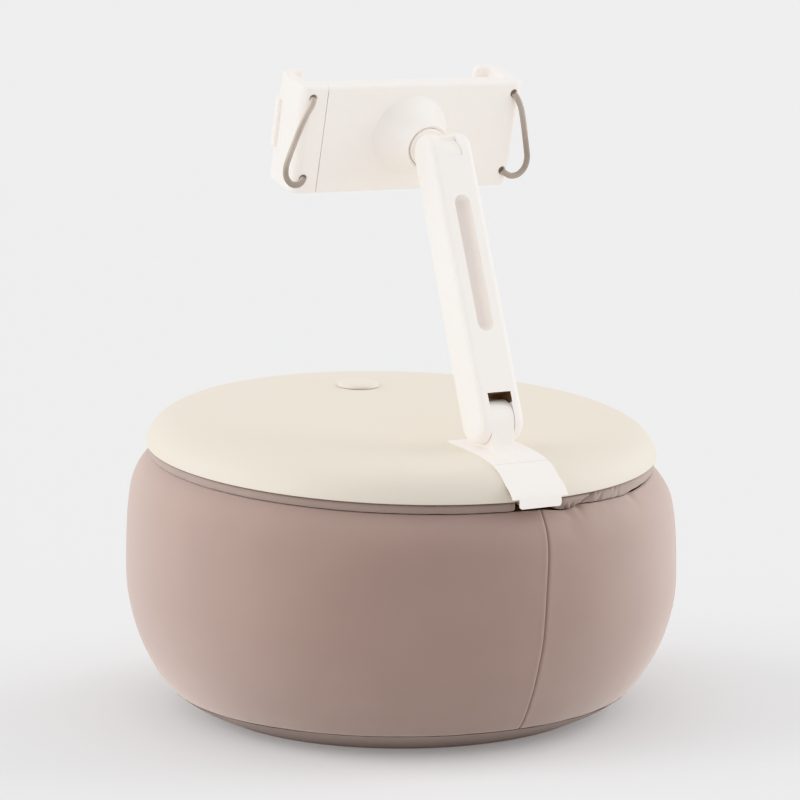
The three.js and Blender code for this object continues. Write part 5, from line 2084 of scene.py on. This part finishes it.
    def front(self) -> None:
        """Builds the front plate with its sunk screw seats."""
        end, mouth, half = self._inside()
        back = self.front_plate - self.plate
        obj = block("holder_front_panel", (end + self.gap, -self.plate, self.gap - half),
                    (mouth - self.gap, back, half - self.gap))
        round_edges(obj, lambda a, b: abs(a.y - b.y) > 1, 1.2, 4)
        inset = self.screw_inset
        radius, sunk = self.screw_seat
        for x in (end + inset, mouth - inset):
            for z in (half - inset, inset - half):
                merge(obj, Merge.CUT,
                      rod("seat", radius, Vector((x, -20, z)), Vector((x, sunk - self.plate, z)), 32),
                      rod("hole", self.screw_hole, Vector((x, -20, z)), Vector((x, 0, z)), 24))
        soften(obj, 0.35, 3, 50)
        finish_moulding(obj, PLACES.holder(), Body.HOLDER, WHITE, "holder_front_plate")

    def pads(self) -> None:
        """Builds the rubber pads, with grooves across them."""
        half_x, half_z, _ = self.pad_half
        corner = self.pad_corner
        ring = [*arc(half_x - corner, half_z - corner, corner, 0, 90, 8),
                *arc(corner - half_x, half_z - corner, corner, 90, 180, 8),
                *arc(corner - half_x, corner - half_z, corner, 180, 270, 8),
                *arc(half_x - corner, corner - half_z, corner, 270, 360, 8)]
        back = -self.plate - self.gap
        obj = prism_y("tablet_pad", ring, back - self.pad, back)
        for i in range(-3, 4):
            x, deep = 10.0 * i, back - self.pad + 0.5
            merge(obj, Merge.CUT, block("groove", (x - 0.5, back - 3, -10.5), (x + 0.5, deep, 10.5)))
        soften(obj, 0.3, 3, 40)
        finish_moulding(obj, PLACES.holder(), Body.HOLDER, RUBBER, "front_pad")
        for side, name, body, node in ((1, "sliding_jaw_grip_pad", Body.JAW, "sliding_jaw_pad"),
                                       (-1, "fixed_jaw_grip_pad", Body.HOLDER, "fixed_jaw_pad")):
            self._jaw_pad(side, name, body, node)

    def _jaw_pad(self, side: int, name: str, body: Body, node: str) -> None:
        """Builds one jaw's pad.

        Args:
            side: 1 for the sliding jaw, -1 for the fixed one.
            name: Name of the piece.
            body: What it moves with.
            node: The solid that it stands for.
        """
        face = self.half_width - self.jaw_wall - self.gap
        low = -(self.depth - self.lip[1] - self.inner_corner - self.gap)
        high = -(self.plate + self.pad + self.gap)
        inner = face - self.pad
        first, last = sorted((side * inner, side * face))
        half = self.pad_half[2]
        obj = block(name, (first, low, -half), (last, high, half))
        round_edges(obj, lambda a, b: abs(a.x - b.x) > 1, 2.5, 5)
        for i in range(-4, 5):
            z, y = 4.5 * i, (low + high) / 2
            first, last = sorted((side * (inner - 2), side * (inner + 0.5)))
            merge(obj, Merge.CUT, block("groove", (first, y - 4.2, z - 0.45), (last, y + 4.2, z + 0.45)))
        soften(obj, 0.25, 2, 40)
        finish_moulding(obj, PLACES.holder(), body, RUBBER, node)

    def build(self) -> None:
        """Builds the holder's pieces."""
        self.back_shell()
        self.sliding_jaw()
        self.front()
        self.pads()


@dataclass
class Hardware:
    """Inner pieces whose solids are right as they are, and only need their finish."""

    finishes: tuple[tuple[Finish, tuple[str, ...]], ...] = (
        (BOARD, ("tray_core", "tray_under_plate")),
        (CORD, ("left_cord_end", "right_cord_end")),
        (STEEL, ("tray_screw", "bracket_screw", "hook_screw", "lower_hinge", "upper_hinge", "swivel_washer",
                 "swivel_screw", "plate_screw", "spring_roll")))

    def dress(self) -> None:
        """Gives each solid that still shows its material."""
        for name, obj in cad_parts.items():
            if obj.hide_render:
                continue
            for finish, starts in self.finishes:
                if name.startswith(starts):
                    obj.data.materials.clear()
                    obj.data.materials.append(finish.material())
                    log.info("%s keeps its solid, in %s", name, finish.name)


def write_sizes() -> None:
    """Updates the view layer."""
    bpy.context.view_layer.update()


def main() -> None:
    """Builds the stand from its camera to its hardware, and reports each piece."""
    logging.basicConfig(level=logging.INFO, format="%(name)s: %(message)s")
    studio = Studio()
    studio.camera()
    ElasticLoops().build()
    Cushion().build()
    bracket = Bracket()
    Tray(bracket).build()
    bracket.build()
    Arm().build()
    TiltHead().build()
    Holder().build()
    Hardware().dress()
    studio.floor()
    studio.lights()
    write_sizes()


if __name__ == "__main__":
    main()
